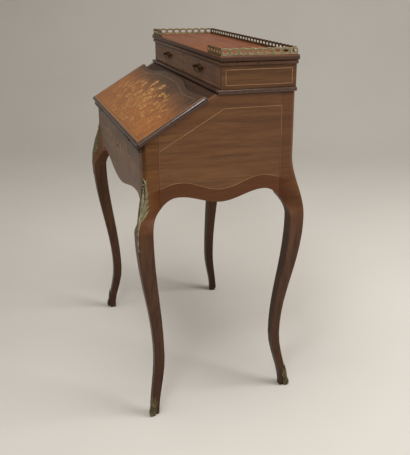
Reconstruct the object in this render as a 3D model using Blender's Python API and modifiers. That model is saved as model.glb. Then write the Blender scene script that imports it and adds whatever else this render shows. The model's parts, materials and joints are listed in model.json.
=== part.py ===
"""Slant-front writing desk on cabriole legs, with a two-drawer case and a pierced gallery.

Metres, +Z up, +Y to the back, +X to the sitter's right. The origin is on the floor, in the
middle of the desk's footprint.
"""
import math

import bmesh
import bpy
from mathutils import Vector

# Carcass
CARCASS_WIDTH = 0.618
CARCASS_DEPTH = 0.375
PANEL_THICK = 0.016
BACK_THICK = 0.012
BED_HEIGHT = 0.708
BED_THICK = 0.014
BOTTOM_THICK = 0.008
BOTTOM_ABOVE_ARCH = 0.008
FALL_RISE = 0.112
NOSING_DEPTH = 0.0094
NOSING_THICK = 0.010
NOSING_ROUND = 0.0025

# Shaped lower edge of the panels: depths below the writing bed, and where the arches peak
ARCH_SPRING_DROP = 0.150
ARCH_PEAK_DROP = 0.124
SIDE_LOBE_DROP = 0.1465
FRONT_LOBE_DROP = 0.160
ARCH_INSET = 0.0795
ARCH_ROUND = 0.74

# Cabriole legs: the knee hangs from the bed and the ankle stands on the floor, with how far the
# outer arris stands off the panel plane at each
POST_WIDTH = 0.036
POST_CANT = 0.007
LEG_CANT = 0.0018
SWELL_DROP = 0.048
KNEE_DROP = 0.203
KNEE_SWELL = 0.024
KNEE_THICK = 0.037
ANKLE_HEIGHT = 0.155
ANKLE_DIP = 0.015
ANKLE_THICK = 0.0243
FOOT_FLARE = 0.003
FOOT_THICK = 0.0195
LEG_STEP = 0.035
KNEE_STEP = 0.007

# Brass shoes and knee mounts
SABOT_WALL = 0.0014
SABOT_FLOOR = 0.006
SABOT_PEAK = 0.068
SABOT_SIDE = 0.050
SABOT_HEEL = 0.036
TOE_REACH = 0.0045
TOE_HEIGHT = 0.009
CHUTE_DROP = 0.063
CHUTE_LENGTH = 0.190
CHUTE_WIDTH = 0.016
CHUTE_TAIL = 0.0028
CHUTE_RISE = 0.0025
CHUTE_LEAF = 0.118
CHUTE_FULLNESS = 0.7
CHUTE_LOBES = 3.55
CHUTE_LOBE_DEPTH = 0.13

# Fall
SLOPE = math.radians(31.0)
FALL_THICK = 0.0115
LIP_WIDTH = 0.014
LIP_THICK = 0.012
LIP_ROUND = 0.0055
LIP_UNDER_ROUND = 0.00275
LIP_OVERHANG = 0.006
FALL_REVEAL = 0.0125
FALL_SWEEP = 0.020
FALL_END_RISE = 0.006
CROWN_FLAT = 0.060
CROWN_FOOT = 0.205
RAIL_THICK = 0.012
RAIL_LAP = 0.014
LEATHER_THICK = 0.0012
FALL_LEATHER_MARGIN = 0.032
BED_LEATHER_MARGIN = 0.0227
BED_LEATHER_FRONT = 0.030

# Flap hinges
HINGE_INSET = 0.111
HINGE_LENGTH = 0.048
HINGE_LEAF = 0.020
HINGE_GAUGE = 0.0014
KNUCKLE_RADIUS = 0.0031
PIN_RADIUS = 0.0014

# Upper case
DECK_THICK = 0.010
DECK_NOSE = 0.010
DECK_SIDE_NOSE = 0.006
CASE_CLEAR = 0.054
CASE_SIDE_THICK = 0.012
CASE_BACK_THICK = 0.008
STILE_WIDTH = 0.014
DIVIDER_THICK = 0.012
CORNICE_TALL = 0.010
CORNICE_NOSE = 0.005
CORNICE_BACK_NOSE = 0.002
TOP_THICK = 0.012
TOP_NOSE = 0.0095
TOP_FRONT_NOSE = 0.0065
TOP_BACK_NOSE = 0.003
EDGE_ROUND = 0.0035

# Drawers and their pulls
DRAWER_FRONT_THICK = 0.014
DRAWER_WALL = 0.006
DRAWER_LOW = 0.010
DRAWER_BACK_SPACE = 0.006
REVEAL = 0.0008
PULL_SPAN = 0.044
PULL_PLATE_WIDTH = 0.060
PULL_PLATE_TALL = 0.017
PULL_PLATE_THICK = 0.0014
PULL_PLATE_WAIST = 0.28
PULL_EYE_RISE = 0.0057
POST_RADIUS = 0.0034
POST_REACH = 0.0090
POST_EYE = 0.0058
BAIL_WIRE = 0.0013
BAIL_DROP = 0.0125
BAIL_SHOULDER = 0.0062
BAIL_TUCK = 0.0040

# Gallery
GALLERY_TALL = 0.0200
GALLERY_HUMP = 0.0030
GALLERY_THICK = 0.0016
GALLERY_INSET = 0.0040
GALLERY_PITCH = 0.0210
GALLERY_BAND = 0.0060
GALLERY_RAIL = 0.0032
GALLERY_BAR = 0.0056
GALLERY_SILL = 0.60
RETURN_LENGTH = 0.095

# Fitted interior
GRADIN_SETBACK = 0.041
GRADIN_BOARD = 0.006
GRADIN_TIER = 0.036
PARTITION_OFFSET = 0.095
SMALL_WALL = 0.005
SMALL_BACK_SPACE = 0.0052
KNOB_RADIUS = 0.0055
KNOB_REACH = 0.013
KNOB_BALL = 0.0064
KNOB_NECK = 0.0025
KNOB_BASE = 0.0050
KNOB_BASE_THICK = 0.0020

# Gaps: glued and seated pieces, mounts on a twisting face, sliding pieces, and turning pins
SEAT = 0.0003
MOUNT_SEAT = 0.0006
SLIDE_GAP = 0.0005
PIN_GAP = 0.0003

# Derived planes and places
HALF_W = CARCASS_WIDTH / 2
HALF_D = CARCASS_DEPTH / 2
DECK_HEIGHT = BED_HEIGHT + FALL_RISE
ARCH_SPRING = BED_HEIGHT - ARCH_SPRING_DROP
ARCH_PEAK = BED_HEIGHT - ARCH_PEAK_DROP
SIDE_LOBE = BED_HEIGHT - SIDE_LOBE_DROP
FRONT_LOBE = BED_HEIGHT - FRONT_LOBE_DROP
SWELL_TOP = BED_HEIGHT - SWELL_DROP
KNEE_HEIGHT = BED_HEIGHT - KNEE_DROP
CHUTE_TOP = BED_HEIGHT - CHUTE_DROP
CHUTE_FOOT = CHUTE_TOP - CHUTE_LENGTH
UP_SLOPE = Vector((0, math.cos(SLOPE), math.sin(SLOPE)))
OFF_SLOPE = Vector((0, -math.sin(SLOPE), math.cos(SLOPE)))
AXIS_Y = -HALF_D - NOSING_DEPTH
AXIS_Z = BED_HEIGHT + SEAT
SLOPE_LENGTH = (DECK_HEIGHT - AXIS_Z) / math.sin(SLOPE)
SLOPE_END_Y = AXIS_Y + SLOPE_LENGTH * math.cos(SLOPE)
DECK_FRONT = SLOPE_END_Y + SEAT
DECK_TOP = DECK_HEIGHT + DECK_THICK
CASE_FRONT = DECK_FRONT + DECK_NOSE
CASE_TOP = DECK_TOP + CASE_CLEAR
CORNICE_TOP = CASE_TOP + CORNICE_TALL
TABLE_TOP = CORNICE_TOP + TOP_THICK
POST_IN_X = HALF_W - POST_WIDTH - SEAT
POST_IN_Y = HALF_D - POST_WIDTH - SEAT
SIDE_IN_X = HALF_W - PANEL_THICK - SEAT
BACK_IN_Y = HALF_D - BACK_THICK - SEAT
BOTTOM_HEIGHT = ARCH_PEAK + BOTTOM_ABOVE_ARCH
SHELF_HEIGHT = BED_HEIGHT + GRADIN_TIER
GRADIN_FRONT = SLOPE_END_Y + GRADIN_SETBACK
SMALL_DEPTH = POST_IN_Y - GRADIN_FRONT - SMALL_BACK_SPACE
BED_LEATHER_HALF = POST_IN_X - BED_LEATHER_MARGIN
FALL_HALF = HALF_W + LIP_OVERHANG - LIP_WIDTH
HINGE_OFFSET = FALL_HALF - HINGE_INSET
FALL_LOW = SLOPE_LENGTH - FALL_REVEAL - FALL_SWEEP

FINISHES = {
    "dark_veneer": ((0.100, 0.045, 0.022), 0.38, 0.0),
    "side_veneer": ((0.190, 0.092, 0.040), 0.36, 0.0),
    "fall_veneer": ((0.420, 0.200, 0.075), 0.32, 0.0),
    "leg_wood": ((0.085, 0.036, 0.020), 0.40, 0.0),
    "top_veneer": ((0.330, 0.130, 0.055), 0.25, 0.0),
    "drawer_lining": ((0.420, 0.290, 0.160), 0.60, 0.0),
    "brass": ((0.420, 0.360, 0.170), 0.38, 1.0),
    "dark_brass": ((0.150, 0.110, 0.060), 0.45, 1.0),
    "leather": ((0.095, 0.030, 0.018), 0.55, 0.0),
}

for old in list(bpy.data.objects):
    bpy.data.objects.remove(old, do_unlink=True)
parts = bpy.data.collections.new("slant_front_desk")
cutters = bpy.data.collections.new("cutters")
bpy.context.scene.collection.children.link(parts)
bpy.context.scene.collection.children.link(cutters)

materials = {}
for finish, (colour, roughness, metallic) in FINISHES.items():
    material = bpy.data.materials.new(finish)
    material.use_nodes = True
    shader = material.node_tree.nodes["Principled BSDF"]
    shader.inputs["Base Color"].default_value = (*colour, 1.0)
    shader.inputs["Roughness"].default_value = roughness
    shader.inputs["Metallic"].default_value = metallic
    materials[finish] = material


def empty(name, place, turn=(0, 0, 0), parent=None):
    """An unseen carrier for the pieces that move together."""
    carrier = bpy.data.objects.new(name, None)
    carrier.location = place
    carrier.rotation_euler = turn
    carrier.parent = parent
    parts.objects.link(carrier)
    return carrier


def add_piece(name, data, finish, parent, place=(0, 0, 0), turn=(0, 0, 0)):
    piece = bpy.data.objects.new(name, data)
    piece.data.materials.append(materials[finish])
    piece.location = place
    piece.rotation_euler = turn
    piece.parent = parent
    parts.objects.link(piece)
    return piece


def add_cutter(name, data, parent, place=(0, 0, 0), turn=(0, 0, 0)):
    cutter = bpy.data.objects.new(name, data)
    cutter.location = place
    cutter.rotation_euler = turn
    cutter.parent = parent
    cutter.hide_render = True
    cutter.display_type = "WIRE"
    cutters.objects.link(cutter)
    return cutter


def combine(piece, tool, operation):
    step = piece.modifiers.new(operation.lower() + "_" + tool.name, "BOOLEAN")
    step.operation = operation
    step.object = tool


def mesh_from(shape, name, smooth=False):
    bmesh.ops.remove_doubles(shape, verts=shape.verts, dist=1e-6)
    bmesh.ops.recalc_face_normals(shape, faces=shape.faces)
    mesh = bpy.data.meshes.new(name)
    shape.to_mesh(mesh)
    shape.free()
    if smooth:
        mesh.shade_smooth()
        mesh.set_sharp_from_angle(angle=math.radians(35))
    return mesh


def box_mesh(name, low, high, round_edges=0.0, keep_square=None):
    """A box between two corners, with its edges rounded where keep_square doesn't hold them."""
    low = Vector(low)
    size = Vector(high) - low
    shape = bmesh.new()
    bmesh.ops.create_cube(shape, size=1.0)
    for vert in shape.verts:
        for axis in range(3):
            vert.co[axis] = low[axis] + (vert.co[axis] + 0.5) * size[axis]
    if round_edges:
        edges = [edge for edge in shape.edges if not (keep_square and keep_square(edge))]
        bmesh.ops.bevel(shape, geom=edges, offset=round_edges, segments=3, profile=0.5,
                        affect="EDGES")
    return mesh_from(shape, name)


def cylinder_mesh(name, radius, start, end, sides=20):
    """A cylinder along X between two places."""
    shape = bmesh.new()
    bmesh.ops.create_cone(shape, cap_ends=True, segments=sides, radius1=radius, radius2=radius,
                          depth=end - start)
    for vert in shape.verts:
        across, along, length = vert.co
        vert.co = ((start + end) / 2 + length, across, along)
    return mesh_from(shape, name, smooth=True)


def tray_mesh(name, low, high, wall):
    """A box without a lid, with walls and floor of one thickness inside its outer size."""
    low = Vector(low)
    high = Vector(high)
    shape = bmesh.new()
    bmesh.ops.create_cube(shape, size=1.0)
    for vert in shape.verts:
        for axis in range(3):
            vert.co[axis] = low[axis] + (vert.co[axis] + 0.5) * (high[axis] - low[axis])
    top = max(shape.faces, key=lambda face: face.calc_center_median().z)
    bmesh.ops.inset_region(shape, faces=[top], thickness=wall)
    well = bmesh.ops.extrude_discrete_faces(shape, faces=[top])["faces"]
    for vert in {vert for face in well for vert in face.verts}:
        vert.co.z = low.z + wall
    return mesh_from(shape, name)


def loft_mesh(name, rings, smooth=False):
    """Skin a run of closed rings that have the same number of points, and cap both ends."""
    shape = bmesh.new()
    rows = [[shape.verts.new(point) for point in ring] for ring in rings]
    count = len(rows[0])
    for row, following in zip(rows, rows[1:]):
        for index in range(count):
            after = (index + 1) % count
            shape.faces.new((row[index], row[after], following[after], following[index]))
    shape.faces.new(rows[0])
    shape.faces.new(rows[-1])
    return mesh_from(shape, name, smooth)


def outline_curve(name, outlines, thickness):
    """A flat plate: the first outline is its edge, and the others are holes through it."""
    curve = bpy.data.curves.new(name, "CURVE")
    curve.dimensions = "2D"
    curve.fill_mode = "BOTH"
    curve.extrude = thickness / 2
    for outline in outlines:
        spline = curve.splines.new("POLY")
        spline.points.add(len(outline) - 1)
        for point, (across, along) in zip(spline.points, outline):
            point.co = (across, along, 0, 1)
        spline.use_cyclic_u = True
    return curve


def plate_mesh(name, outline, low, high):
    """A flat plate as a mesh, from its outline in plan and its lower and upper face."""
    return loft_mesh(name, [[(x, y, z) for x, y in outline] for z in (low, high)])


FACING_FRONT = (math.pi / 2, 0, 0)
FACING_SIDE = (math.pi / 2, 0, math.pi / 2)


def ease(start, end, share):
    """Cosine easing from one value to another: level at both ends."""
    return start + (end - start) * (1 - math.cos(math.pi * share)) / 2


def spread(start, end, count):
    return [start + (end - start) * index / count for index in range(count + 1)]


def slope_z(y):
    """Height of the slope plane, on which the fall lies."""
    return AXIS_Z + (y - AXIS_Y) * math.tan(SLOPE)


# Legs, shoes and knee mounts
def leg_swell(z):
    """How far the outer arris stands off the panel planes."""
    if z >= SWELL_TOP:
        return 0.0
    if z >= KNEE_HEIGHT:
        return ease(0.0, KNEE_SWELL, (SWELL_TOP - z) / (SWELL_TOP - KNEE_HEIGHT))
    if z >= ANKLE_HEIGHT:
        return ease(KNEE_SWELL, -ANKLE_DIP, (KNEE_HEIGHT - z) / (KNEE_HEIGHT - ANKLE_HEIGHT))
    return ease(-ANKLE_DIP, FOOT_FLARE, 1 - z / ANKLE_HEIGHT)


def leg_inset(z):
    """How far in from the panel planes the inner faces lie."""
    knee_inset = KNEE_THICK - KNEE_SWELL
    if z >= ARCH_SPRING:
        return POST_WIDTH
    if z >= KNEE_HEIGHT:
        share = (z - KNEE_HEIGHT) / (ARCH_SPRING - KNEE_HEIGHT)
        return knee_inset + (POST_WIDTH - knee_inset) * share ** 2
    if z >= ANKLE_HEIGHT:
        share = (KNEE_HEIGHT - z) / (KNEE_HEIGHT - ANKLE_HEIGHT)
        return ease(KNEE_THICK, ANKLE_THICK, share) - leg_swell(z)
    return ease(ANKLE_THICK, FOOT_THICK, 1 - z / ANKLE_HEIGHT) - leg_swell(z)


def leg_edge(z):
    """Stand-off of a face's inner edge: flush with the panels above, square section below."""
    if z >= ARCH_SPRING:
        return 0.0
    if z >= KNEE_HEIGHT:
        share = (z - KNEE_HEIGHT) / (ARCH_SPRING - KNEE_HEIGHT)
        return leg_swell(z) * (1 + math.cos(math.pi * share)) / 2
    return leg_swell(z)


def leg_cant(z):
    """Width of the cant along the outer arris: broad on the post, fine on the leg."""
    share = min(max((z - ARCH_SPRING) / (SWELL_TOP - ARCH_SPRING), 0.0), 1.0)
    return ease(LEG_CANT, POST_CANT, share)


def leg_corners(grow, heights, toe=0.0):
    """The five corners of a leg section: two on the outer arris, then side, inner and end edge."""
    arris, side, inner = heights
    out = leg_swell(arris) + grow
    cant = leg_cant(arris)
    edge = leg_edge(side) + grow
    return [
        (HALF_W + out - cant + toe, HALF_D + out + toe, arris),
        (HALF_W + out + toe, HALF_D + out - cant + toe, arris),
        (HALF_W + edge, HALF_D - leg_inset(side) - grow, side),
        (HALF_W - leg_inset(inner) - grow, HALF_D - leg_inset(inner) - grow, inner),
        (HALF_W - leg_inset(side) - grow, HALF_D + edge, side),
    ]


def mirrored(ring, side, end):
    return [(x * side, y * end, z) for x, y, z in ring]


def leg_levels():
    """Heights of the leg's sections: close together where the shoe and the knee mount lie on it."""
    stops = [SABOT_FLOOR + SEAT, SABOT_PEAK, ANKLE_HEIGHT, CHUTE_FOOT, KNEE_HEIGHT, ARCH_SPRING, CHUTE_TOP, SWELL_TOP]
    stops.sort()
    levels = stops[:1]
    for low, high in zip(stops, stops[1:]):
        step = LEG_STEP if SABOT_PEAK < high <= CHUTE_FOOT else KNEE_STEP
        levels += spread(low, high, math.ceil((high - low) / step))[1:]
    return levels


def leg_rings(side, end):
    rings = [mirrored(leg_corners(0.0, (z, z, z)), side, end) for z in leg_levels()]
    top = DECK_HEIGHT - SEAT
    crown = mirrored(leg_corners(0.0, (top, top, top)), side, end)
    if end < 0:
        crown = [(x, y, slope_z(y)) for x, y, z in crown]
    return rings + [crown]


def sabot_rings(side, end):
    """Up the outside from the floor, over the slanting rim, and down the inside to the floor."""
    rims = (SABOT_PEAK, SABOT_SIDE, SABOT_HEEL)
    shares = (0.0, 0.10, 0.20, 0.32, 0.5, 0.75, 1.0)
    outside = []
    for share in shares:
        heights = [rim * share for rim in rims]
        toe = TOE_REACH * math.exp(-((heights[0] - TOE_HEIGHT) / TOE_HEIGHT) ** 2)
        outside.append(leg_corners(SEAT + SABOT_WALL, heights, toe))
    inside = []
    for share in reversed(shares[2:]):
        inside.append(leg_corners(SEAT, [max(rim * share, SABOT_FLOOR) for rim in rims]))
    inside.append(leg_corners(SEAT, [SABOT_FLOOR] * 3))
    return [mirrored(ring, side, end) for ring in outside + inside]


def chute_width(z):
    """Half width of the leafy knee mount on each face, from its scrolled top to its thin tail."""
    share = (CHUTE_TOP - z) / CHUTE_LEAF
    leaf = math.sin(math.pi * min(share, 1.0)) ** CHUTE_FULLNESS
    ripple = 1.0 + CHUTE_LOBE_DEPTH * math.cos(2 * math.pi * CHUTE_LOBES * share)
    return CHUTE_TAIL + (CHUTE_WIDTH - CHUTE_TAIL) * leaf * ripple


def chute_ring(z, side):
    """An angle section over the front arris, seated just off the leg's two faces."""
    first, second, side_edge, inner, end_edge = leg_corners(0.0, (z, z, z))
    along_side = (Vector(side_edge) - Vector(second)).normalized()
    along_end = (Vector(end_edge) - Vector(first)).normalized()
    off_side = Vector((-along_side.y, along_side.x, 0))
    off_end = Vector((along_end.y, -along_end.x, 0))
    width = chute_width(z)
    ring = []
    for lift in (MOUNT_SEAT, MOUNT_SEAT + CHUTE_RISE):
        line = [
            Vector(first) + along_end * width + off_end * lift,
            Vector(first) + off_end * lift,
            Vector(second) + off_side * lift,
            Vector(second) + along_side * width + off_side * lift,
        ]
        ring += line if lift == MOUNT_SEAT else line[::-1]
    return mirrored(ring, side, -1)


def build_legs(root):
    for end, end_name in ((-1, "front"), (1, "back")):
        for side, side_name in ((-1, "left"), (1, "right")):
            place = end_name + "_" + side_name
            leg = loft_mesh("leg_" + place, leg_rings(side, end), smooth=True)
            add_piece("leg_" + place, leg, "leg_wood", root)
            sabot = loft_mesh("sabot_" + place, sabot_rings(side, end), smooth=True)
            add_piece("sabot_" + place, sabot, "brass", root)
    for side, side_name in ((-1, "left"), (1, "right")):
        rings = [chute_ring(z, side) for z in leg_levels() if CHUTE_FOOT <= z <= CHUTE_TOP]
        chute = loft_mesh("chute_" + side_name, rings, smooth=True)
        add_piece("chute_" + side_name, chute, "brass", root)


# Carcass
def apron_edge(half, lobe):
    """Lower edge from one post to the other: arch, hanging lobe, arch."""
    seam = half - POST_WIDTH - SEAT
    peak = half - ARCH_INSET
    flat = 1 - math.sqrt(1 - ARCH_ROUND ** 2)
    right = [(peak * share, ease(lobe, ARCH_PEAK, share)) for share in spread(0, 1, 12)]
    for share in spread(0, 1, 6)[1:]:
        fall = (1 - math.sqrt(1 - (ARCH_ROUND * share) ** 2)) / flat
        right.append((peak + (seam - peak) * share, ARCH_PEAK - (ARCH_PEAK - ARCH_SPRING) * fall))
    left = [(-across, z) for across, z in reversed(right[1:])]
    return left + right


def build_carcass(root):
    top = DECK_HEIGHT - SEAT
    slope_end = AXIS_Y + (top - AXIS_Z) / math.tan(SLOPE)
    side_outline = apron_edge(HALF_D, SIDE_LOBE)
    side_outline += [(POST_IN_Y, top), (slope_end, top), (-POST_IN_Y, slope_z(-POST_IN_Y))]
    for side, side_name in ((-1, "left"), (1, "right")):
        name = "side_panel_" + side_name
        place = (side * (HALF_W - PANEL_THICK / 2), 0, 0)
        add_piece(name, outline_curve(name, [side_outline], PANEL_THICK), "side_veneer", root,
                  place, FACING_SIDE)

    front_top = BED_HEIGHT - BED_THICK - SEAT
    front_outline = apron_edge(HALF_W, FRONT_LOBE) + [(POST_IN_X, front_top), (-POST_IN_X, front_top)]
    add_piece("front_apron", outline_curve("front_apron", [front_outline], PANEL_THICK),
              "side_veneer", root, (0, -HALF_D + PANEL_THICK / 2, 0), FACING_FRONT)
    back_outline = apron_edge(HALF_W, FRONT_LOBE) + [(POST_IN_X, top), (-POST_IN_X, top)]
    add_piece("back_panel", outline_curve("back_panel", [back_outline], BACK_THICK),
              "side_veneer", root, (0, HALF_D - BACK_THICK / 2, 0), FACING_FRONT)

    bottom = board_outline(-HALF_D + PANEL_THICK + SEAT)
    add_piece("bottom_board", outline_curve("bottom_board", [bottom], BOTTOM_THICK),
              "drawer_lining", root, (0, 0, BOTTOM_HEIGHT + BOTTOM_THICK / 2))

    rail_start = FALL_LOW - RAIL_LAP
    upper = AXIS_Y + (top - AXIS_Z + RAIL_THICK / math.cos(SLOPE)) / math.tan(SLOPE)
    low_face = Vector((0, AXIS_Y, AXIS_Z)) + UP_SLOPE * rail_start
    low_back = low_face - OFF_SLOPE * RAIL_THICK
    rail = [(low_face.y, low_face.z), (slope_end, top), (upper, top), (low_back.y, low_back.z)]
    add_piece("slope_rail", outline_curve("slope_rail", [rail], 2 * SIDE_IN_X), "dark_veneer",
              root, (0, 0, 0), FACING_SIDE)


def board_outline(front):
    """Plan of a board inside the carcass, notched round the four posts."""
    half = [(POST_IN_X, front), (POST_IN_X, -POST_IN_Y), (SIDE_IN_X, -POST_IN_Y),
            (SIDE_IN_X, POST_IN_Y), (POST_IN_X, POST_IN_Y), (POST_IN_X, BACK_IN_Y)]
    return half + [(-x, y) for x, y in reversed(half)]


def build_bed(root):
    board = plate_mesh("writing_bed", board_outline(-HALF_D), BED_HEIGHT - BED_THICK, BED_HEIGHT)
    bed = add_piece("writing_bed", board, "side_veneer", root)
    nosing = add_piece(
        "bed_nosing",
        box_mesh("bed_nosing", (-HALF_W, -HALF_D - NOSING_DEPTH + SEAT, BED_HEIGHT - NOSING_THICK),
                 (HALF_W, -HALF_D - SEAT, BED_HEIGHT), NOSING_ROUND,
                 lambda edge: sum(vert.co.y for vert in edge.verts) / 2 > -HALF_D - NOSING_DEPTH / 2),
        "dark_veneer", root)
    low = (-BED_LEATHER_HALF, -HALF_D + BED_LEATHER_FRONT, BED_HEIGHT - LEATHER_THICK)
    high = (BED_LEATHER_HALF, GRADIN_FRONT - SEAT, BED_HEIGHT)
    add_piece("bed_leather", box_mesh("bed_leather", low, high), "leather", root)
    pocket_low = (low[0] - SEAT, low[1] - SEAT, low[2] - SEAT)
    pocket_high = (high[0] + SEAT, high[1] + SEAT, BED_HEIGHT + LEATHER_THICK)
    pocket = add_cutter("bed_leather_pocket", box_mesh("pocket", pocket_low, pocket_high), root)
    combine(bed, pocket, "DIFFERENCE")
    return bed, nosing


# Fall, in a frame on the hinge axis: X across, Y up the slope, Z off it
def fall_top(x):
    """Serpentine upper edge: flat crown, ogee shoulders, and a slight rise at the ends."""
    across = abs(x)
    crown = min(max((across - CROWN_FLAT) / (CROWN_FOOT - CROWN_FLAT), 0.0), 1.0)
    rise = min(max((across - CROWN_FOOT) / (FALL_HALF - CROWN_FOOT), 0.0), 1.0)
    return FALL_LOW + ease(FALL_SWEEP, 0.0, crown) + ease(0.0, FALL_END_RISE, rise)


def lip_profile():
    """Section of the border: square to the panel, round on its outer edges."""
    points = [(SEAT, SEAT), (SEAT, SEAT + FALL_THICK)]
    for turn in spread(90, 0, 5):
        angle = math.radians(turn)
        points.append((LIP_WIDTH - LIP_ROUND * (1 - math.cos(angle)),
                       SEAT + LIP_THICK - LIP_ROUND * (1 - math.sin(angle))))
    for turn in spread(0, -90, 3):
        angle = math.radians(turn)
        points.append((LIP_WIDTH - LIP_UNDER_ROUND * (1 - math.cos(angle)),
                       SEAT + LIP_UNDER_ROUND * (1 + math.sin(angle))))
    return points


def build_fall(pivot):
    foot = LIP_WIDTH + SEAT
    edge = [(x, fall_top(x)) for x in spread(FALL_HALF, -FALL_HALF, 44)]
    outline = edge + [(-FALL_HALF, foot), (FALL_HALF, foot)]
    panel = add_piece("fall_panel", plate_mesh("fall_panel", outline, SEAT, SEAT + FALL_THICK),
                      "fall_veneer", pivot)
    profile = lip_profile()
    lip_end = fall_top(FALL_HALF)
    for side, side_name in ((-1, "left"), (1, "right")):
        lower = [(side * (FALL_HALF + out), foot - out + 2 * SEAT, up) for out, up in profile]
        upper = [(side * (FALL_HALF + out), lip_end, up) for out, up in profile]
        name = "fall_lip_" + side_name
        add_piece(name, loft_mesh(name, [lower, upper], smooth=True), "dark_veneer", pivot)
    rings = [[(side * (FALL_HALF + out), foot - out, up) for out, up in profile] for side in (-1, 1)]
    bottom = add_piece("fall_lip_bottom", loft_mesh("fall_lip_bottom", rings, smooth=True),
                       "dark_veneer", pivot)

    reach = FALL_HALF - FALL_LEATHER_MARGIN
    low = (-reach, foot + FALL_LEATHER_MARGIN, SEAT)
    high = (reach, FALL_LOW - FALL_LEATHER_MARGIN, SEAT + LEATHER_THICK)
    add_piece("fall_leather", box_mesh("fall_leather", low, high), "leather", pivot)
    pocket_low = (low[0] - SEAT, low[1] - SEAT, -LEATHER_THICK)
    pocket_high = (high[0] + SEAT, high[1] + SEAT, high[2] + SEAT)
    pocket = add_cutter("fall_leather_pocket", box_mesh("pocket", pocket_low, pocket_high), pivot)
    combine(panel, pocket, "DIFFERENCE")
    return panel, bottom


def build_hinges(axis, pivot, bed, nosing, panel, lip):
    """Two flap hinges let in flush: outer knuckles on the bed leaf, the middle one on the fall's."""
    third = HINGE_LENGTH / 3
    leaf_near = KNUCKLE_RADIUS / 2
    for side, side_name in ((-1, "left"), (1, "right")):
        middle = side * HINGE_OFFSET
        start = middle - HINGE_LENGTH / 2
        end = middle + HINGE_LENGTH / 2
        runs = {
            "bed": ((start, start + third - SEAT), (end - third + SEAT, end)),
            "fall": ((start + third, end - third),),
        }
        bore = add_cutter("hinge_bore_" + side_name,
                          cylinder_mesh("bore", PIN_RADIUS + PIN_GAP, start - SEAT, end + SEAT), axis)
        room = add_cutter("hinge_room_" + side_name,
                          cylinder_mesh("room", KNUCKLE_RADIUS + SEAT, start - SEAT, end + SEAT), axis)
        for leaf, carrier, cut in (("bed", axis, (bed, nosing)), ("fall", pivot, (panel, lip))):
            # The bed leaf lies behind the axis and below it, the fall leaf up the slope and off it
            face = -SEAT if leaf == "bed" else SEAT
            inward = -HINGE_GAUGE if leaf == "bed" else HINGE_GAUGE
            heights = sorted((face, face + inward))
            name = "hinge_" + leaf + "_leaf_" + side_name
            plate = box_mesh(name, (start, leaf_near, heights[0]), (end, HINGE_LEAF, heights[1]))
            piece = add_piece(name, plate, "dark_brass", carrier)
            for number, (first, last) in enumerate(runs[leaf]):
                knuckle = add_cutter(name + "_knuckle_" + str(number),
                                     cylinder_mesh("knuckle", KNUCKLE_RADIUS, first, last), carrier)
                combine(piece, knuckle, "UNION")
            gaps = [run for key, run in runs.items() if key != leaf]
            for number, (first, last) in enumerate(gaps[0]):
                notch = add_cutter(name + "_notch_" + str(number),
                                   cylinder_mesh("notch", KNUCKLE_RADIUS + SEAT, first - SEAT,
                                                 last + SEAT), carrier)
                combine(piece, notch, "DIFFERENCE")
            combine(piece, bore, "DIFFERENCE")
            outer = face - inward
            seat_heights = sorted((outer, face + inward + math.copysign(SEAT, inward)))
            seat = add_cutter(name + "_seat",
                              box_mesh("seat", (start - SEAT, -KNUCKLE_RADIUS, seat_heights[0]),
                                       (end + SEAT, HINGE_LEAF + SEAT, seat_heights[1])), carrier)
            for wood in cut:
                combine(wood, seat, "DIFFERENCE")
                combine(wood, room, "DIFFERENCE")
        pin = cylinder_mesh("hinge_pin_" + side_name, PIN_RADIUS, start, end, 12)
        add_piece("hinge_pin_" + side_name, pin, "dark_brass", axis)


# Upper case
def moulded_board(name, finish, root, low, high, rounding):
    """A board with round edges at the front and sides, square along the back."""
    back = high[1]

    def at_back(edge):
        return all(vert.co.y > back - SEAT for vert in edge.verts)

    add_piece(name, box_mesh(name, low, high, rounding, at_back), finish, root)


def build_case(root):
    deck_half = HALF_W + DECK_SIDE_NOSE
    moulded_board("deck_board", "dark_veneer", root, (-deck_half, DECK_FRONT, DECK_HEIGHT),
                  (deck_half, HALF_D, DECK_TOP), EDGE_ROUND)
    low = DECK_TOP + SEAT
    high = CASE_TOP - SEAT
    stile_out = HALF_W - CASE_SIDE_THICK - SEAT
    stile_in = stile_out - STILE_WIDTH
    back_face = HALF_D - CASE_BACK_THICK - SEAT
    for side, side_name in ((-1, "left"), (1, "right")):
        wall = sorted((side * HALF_W, side * (HALF_W - CASE_SIDE_THICK)))
        name = "case_side_" + side_name
        add_piece(name, box_mesh(name, (wall[0], CASE_FRONT, low), (wall[1], HALF_D, high)),
                  "side_veneer", root)
        stile = sorted((side * stile_out, side * stile_in))
        name = "case_stile_" + side_name
        add_piece(name, box_mesh(name, (stile[0], CASE_FRONT, low), (stile[1], back_face, high)),
                  "side_veneer", root)
    half = DIVIDER_THICK / 2
    add_piece("case_divider", box_mesh("case_divider", (-half, CASE_FRONT, low), (half, back_face, high)),
              "side_veneer", root)
    add_piece("case_back", box_mesh("case_back", (-stile_out, back_face + SEAT, low),
                                    (stile_out, HALF_D, high)), "side_veneer", root)
    cornice_half = HALF_W + CORNICE_NOSE
    moulded_board("cornice_moulding", "dark_veneer", root,
                  (-cornice_half, CASE_FRONT - CORNICE_NOSE, CASE_TOP),
                  (cornice_half, HALF_D + CORNICE_BACK_NOSE, CORNICE_TOP - SEAT), EDGE_ROUND)
    top_half = HALF_W + TOP_NOSE
    moulded_board("top_board", "top_veneer", root,
                  (-top_half, CASE_FRONT - TOP_FRONT_NOSE, CORNICE_TOP),
                  (top_half, HALF_D + TOP_BACK_NOSE, TABLE_TOP), EDGE_ROUND)
    return stile_in, back_face


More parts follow.
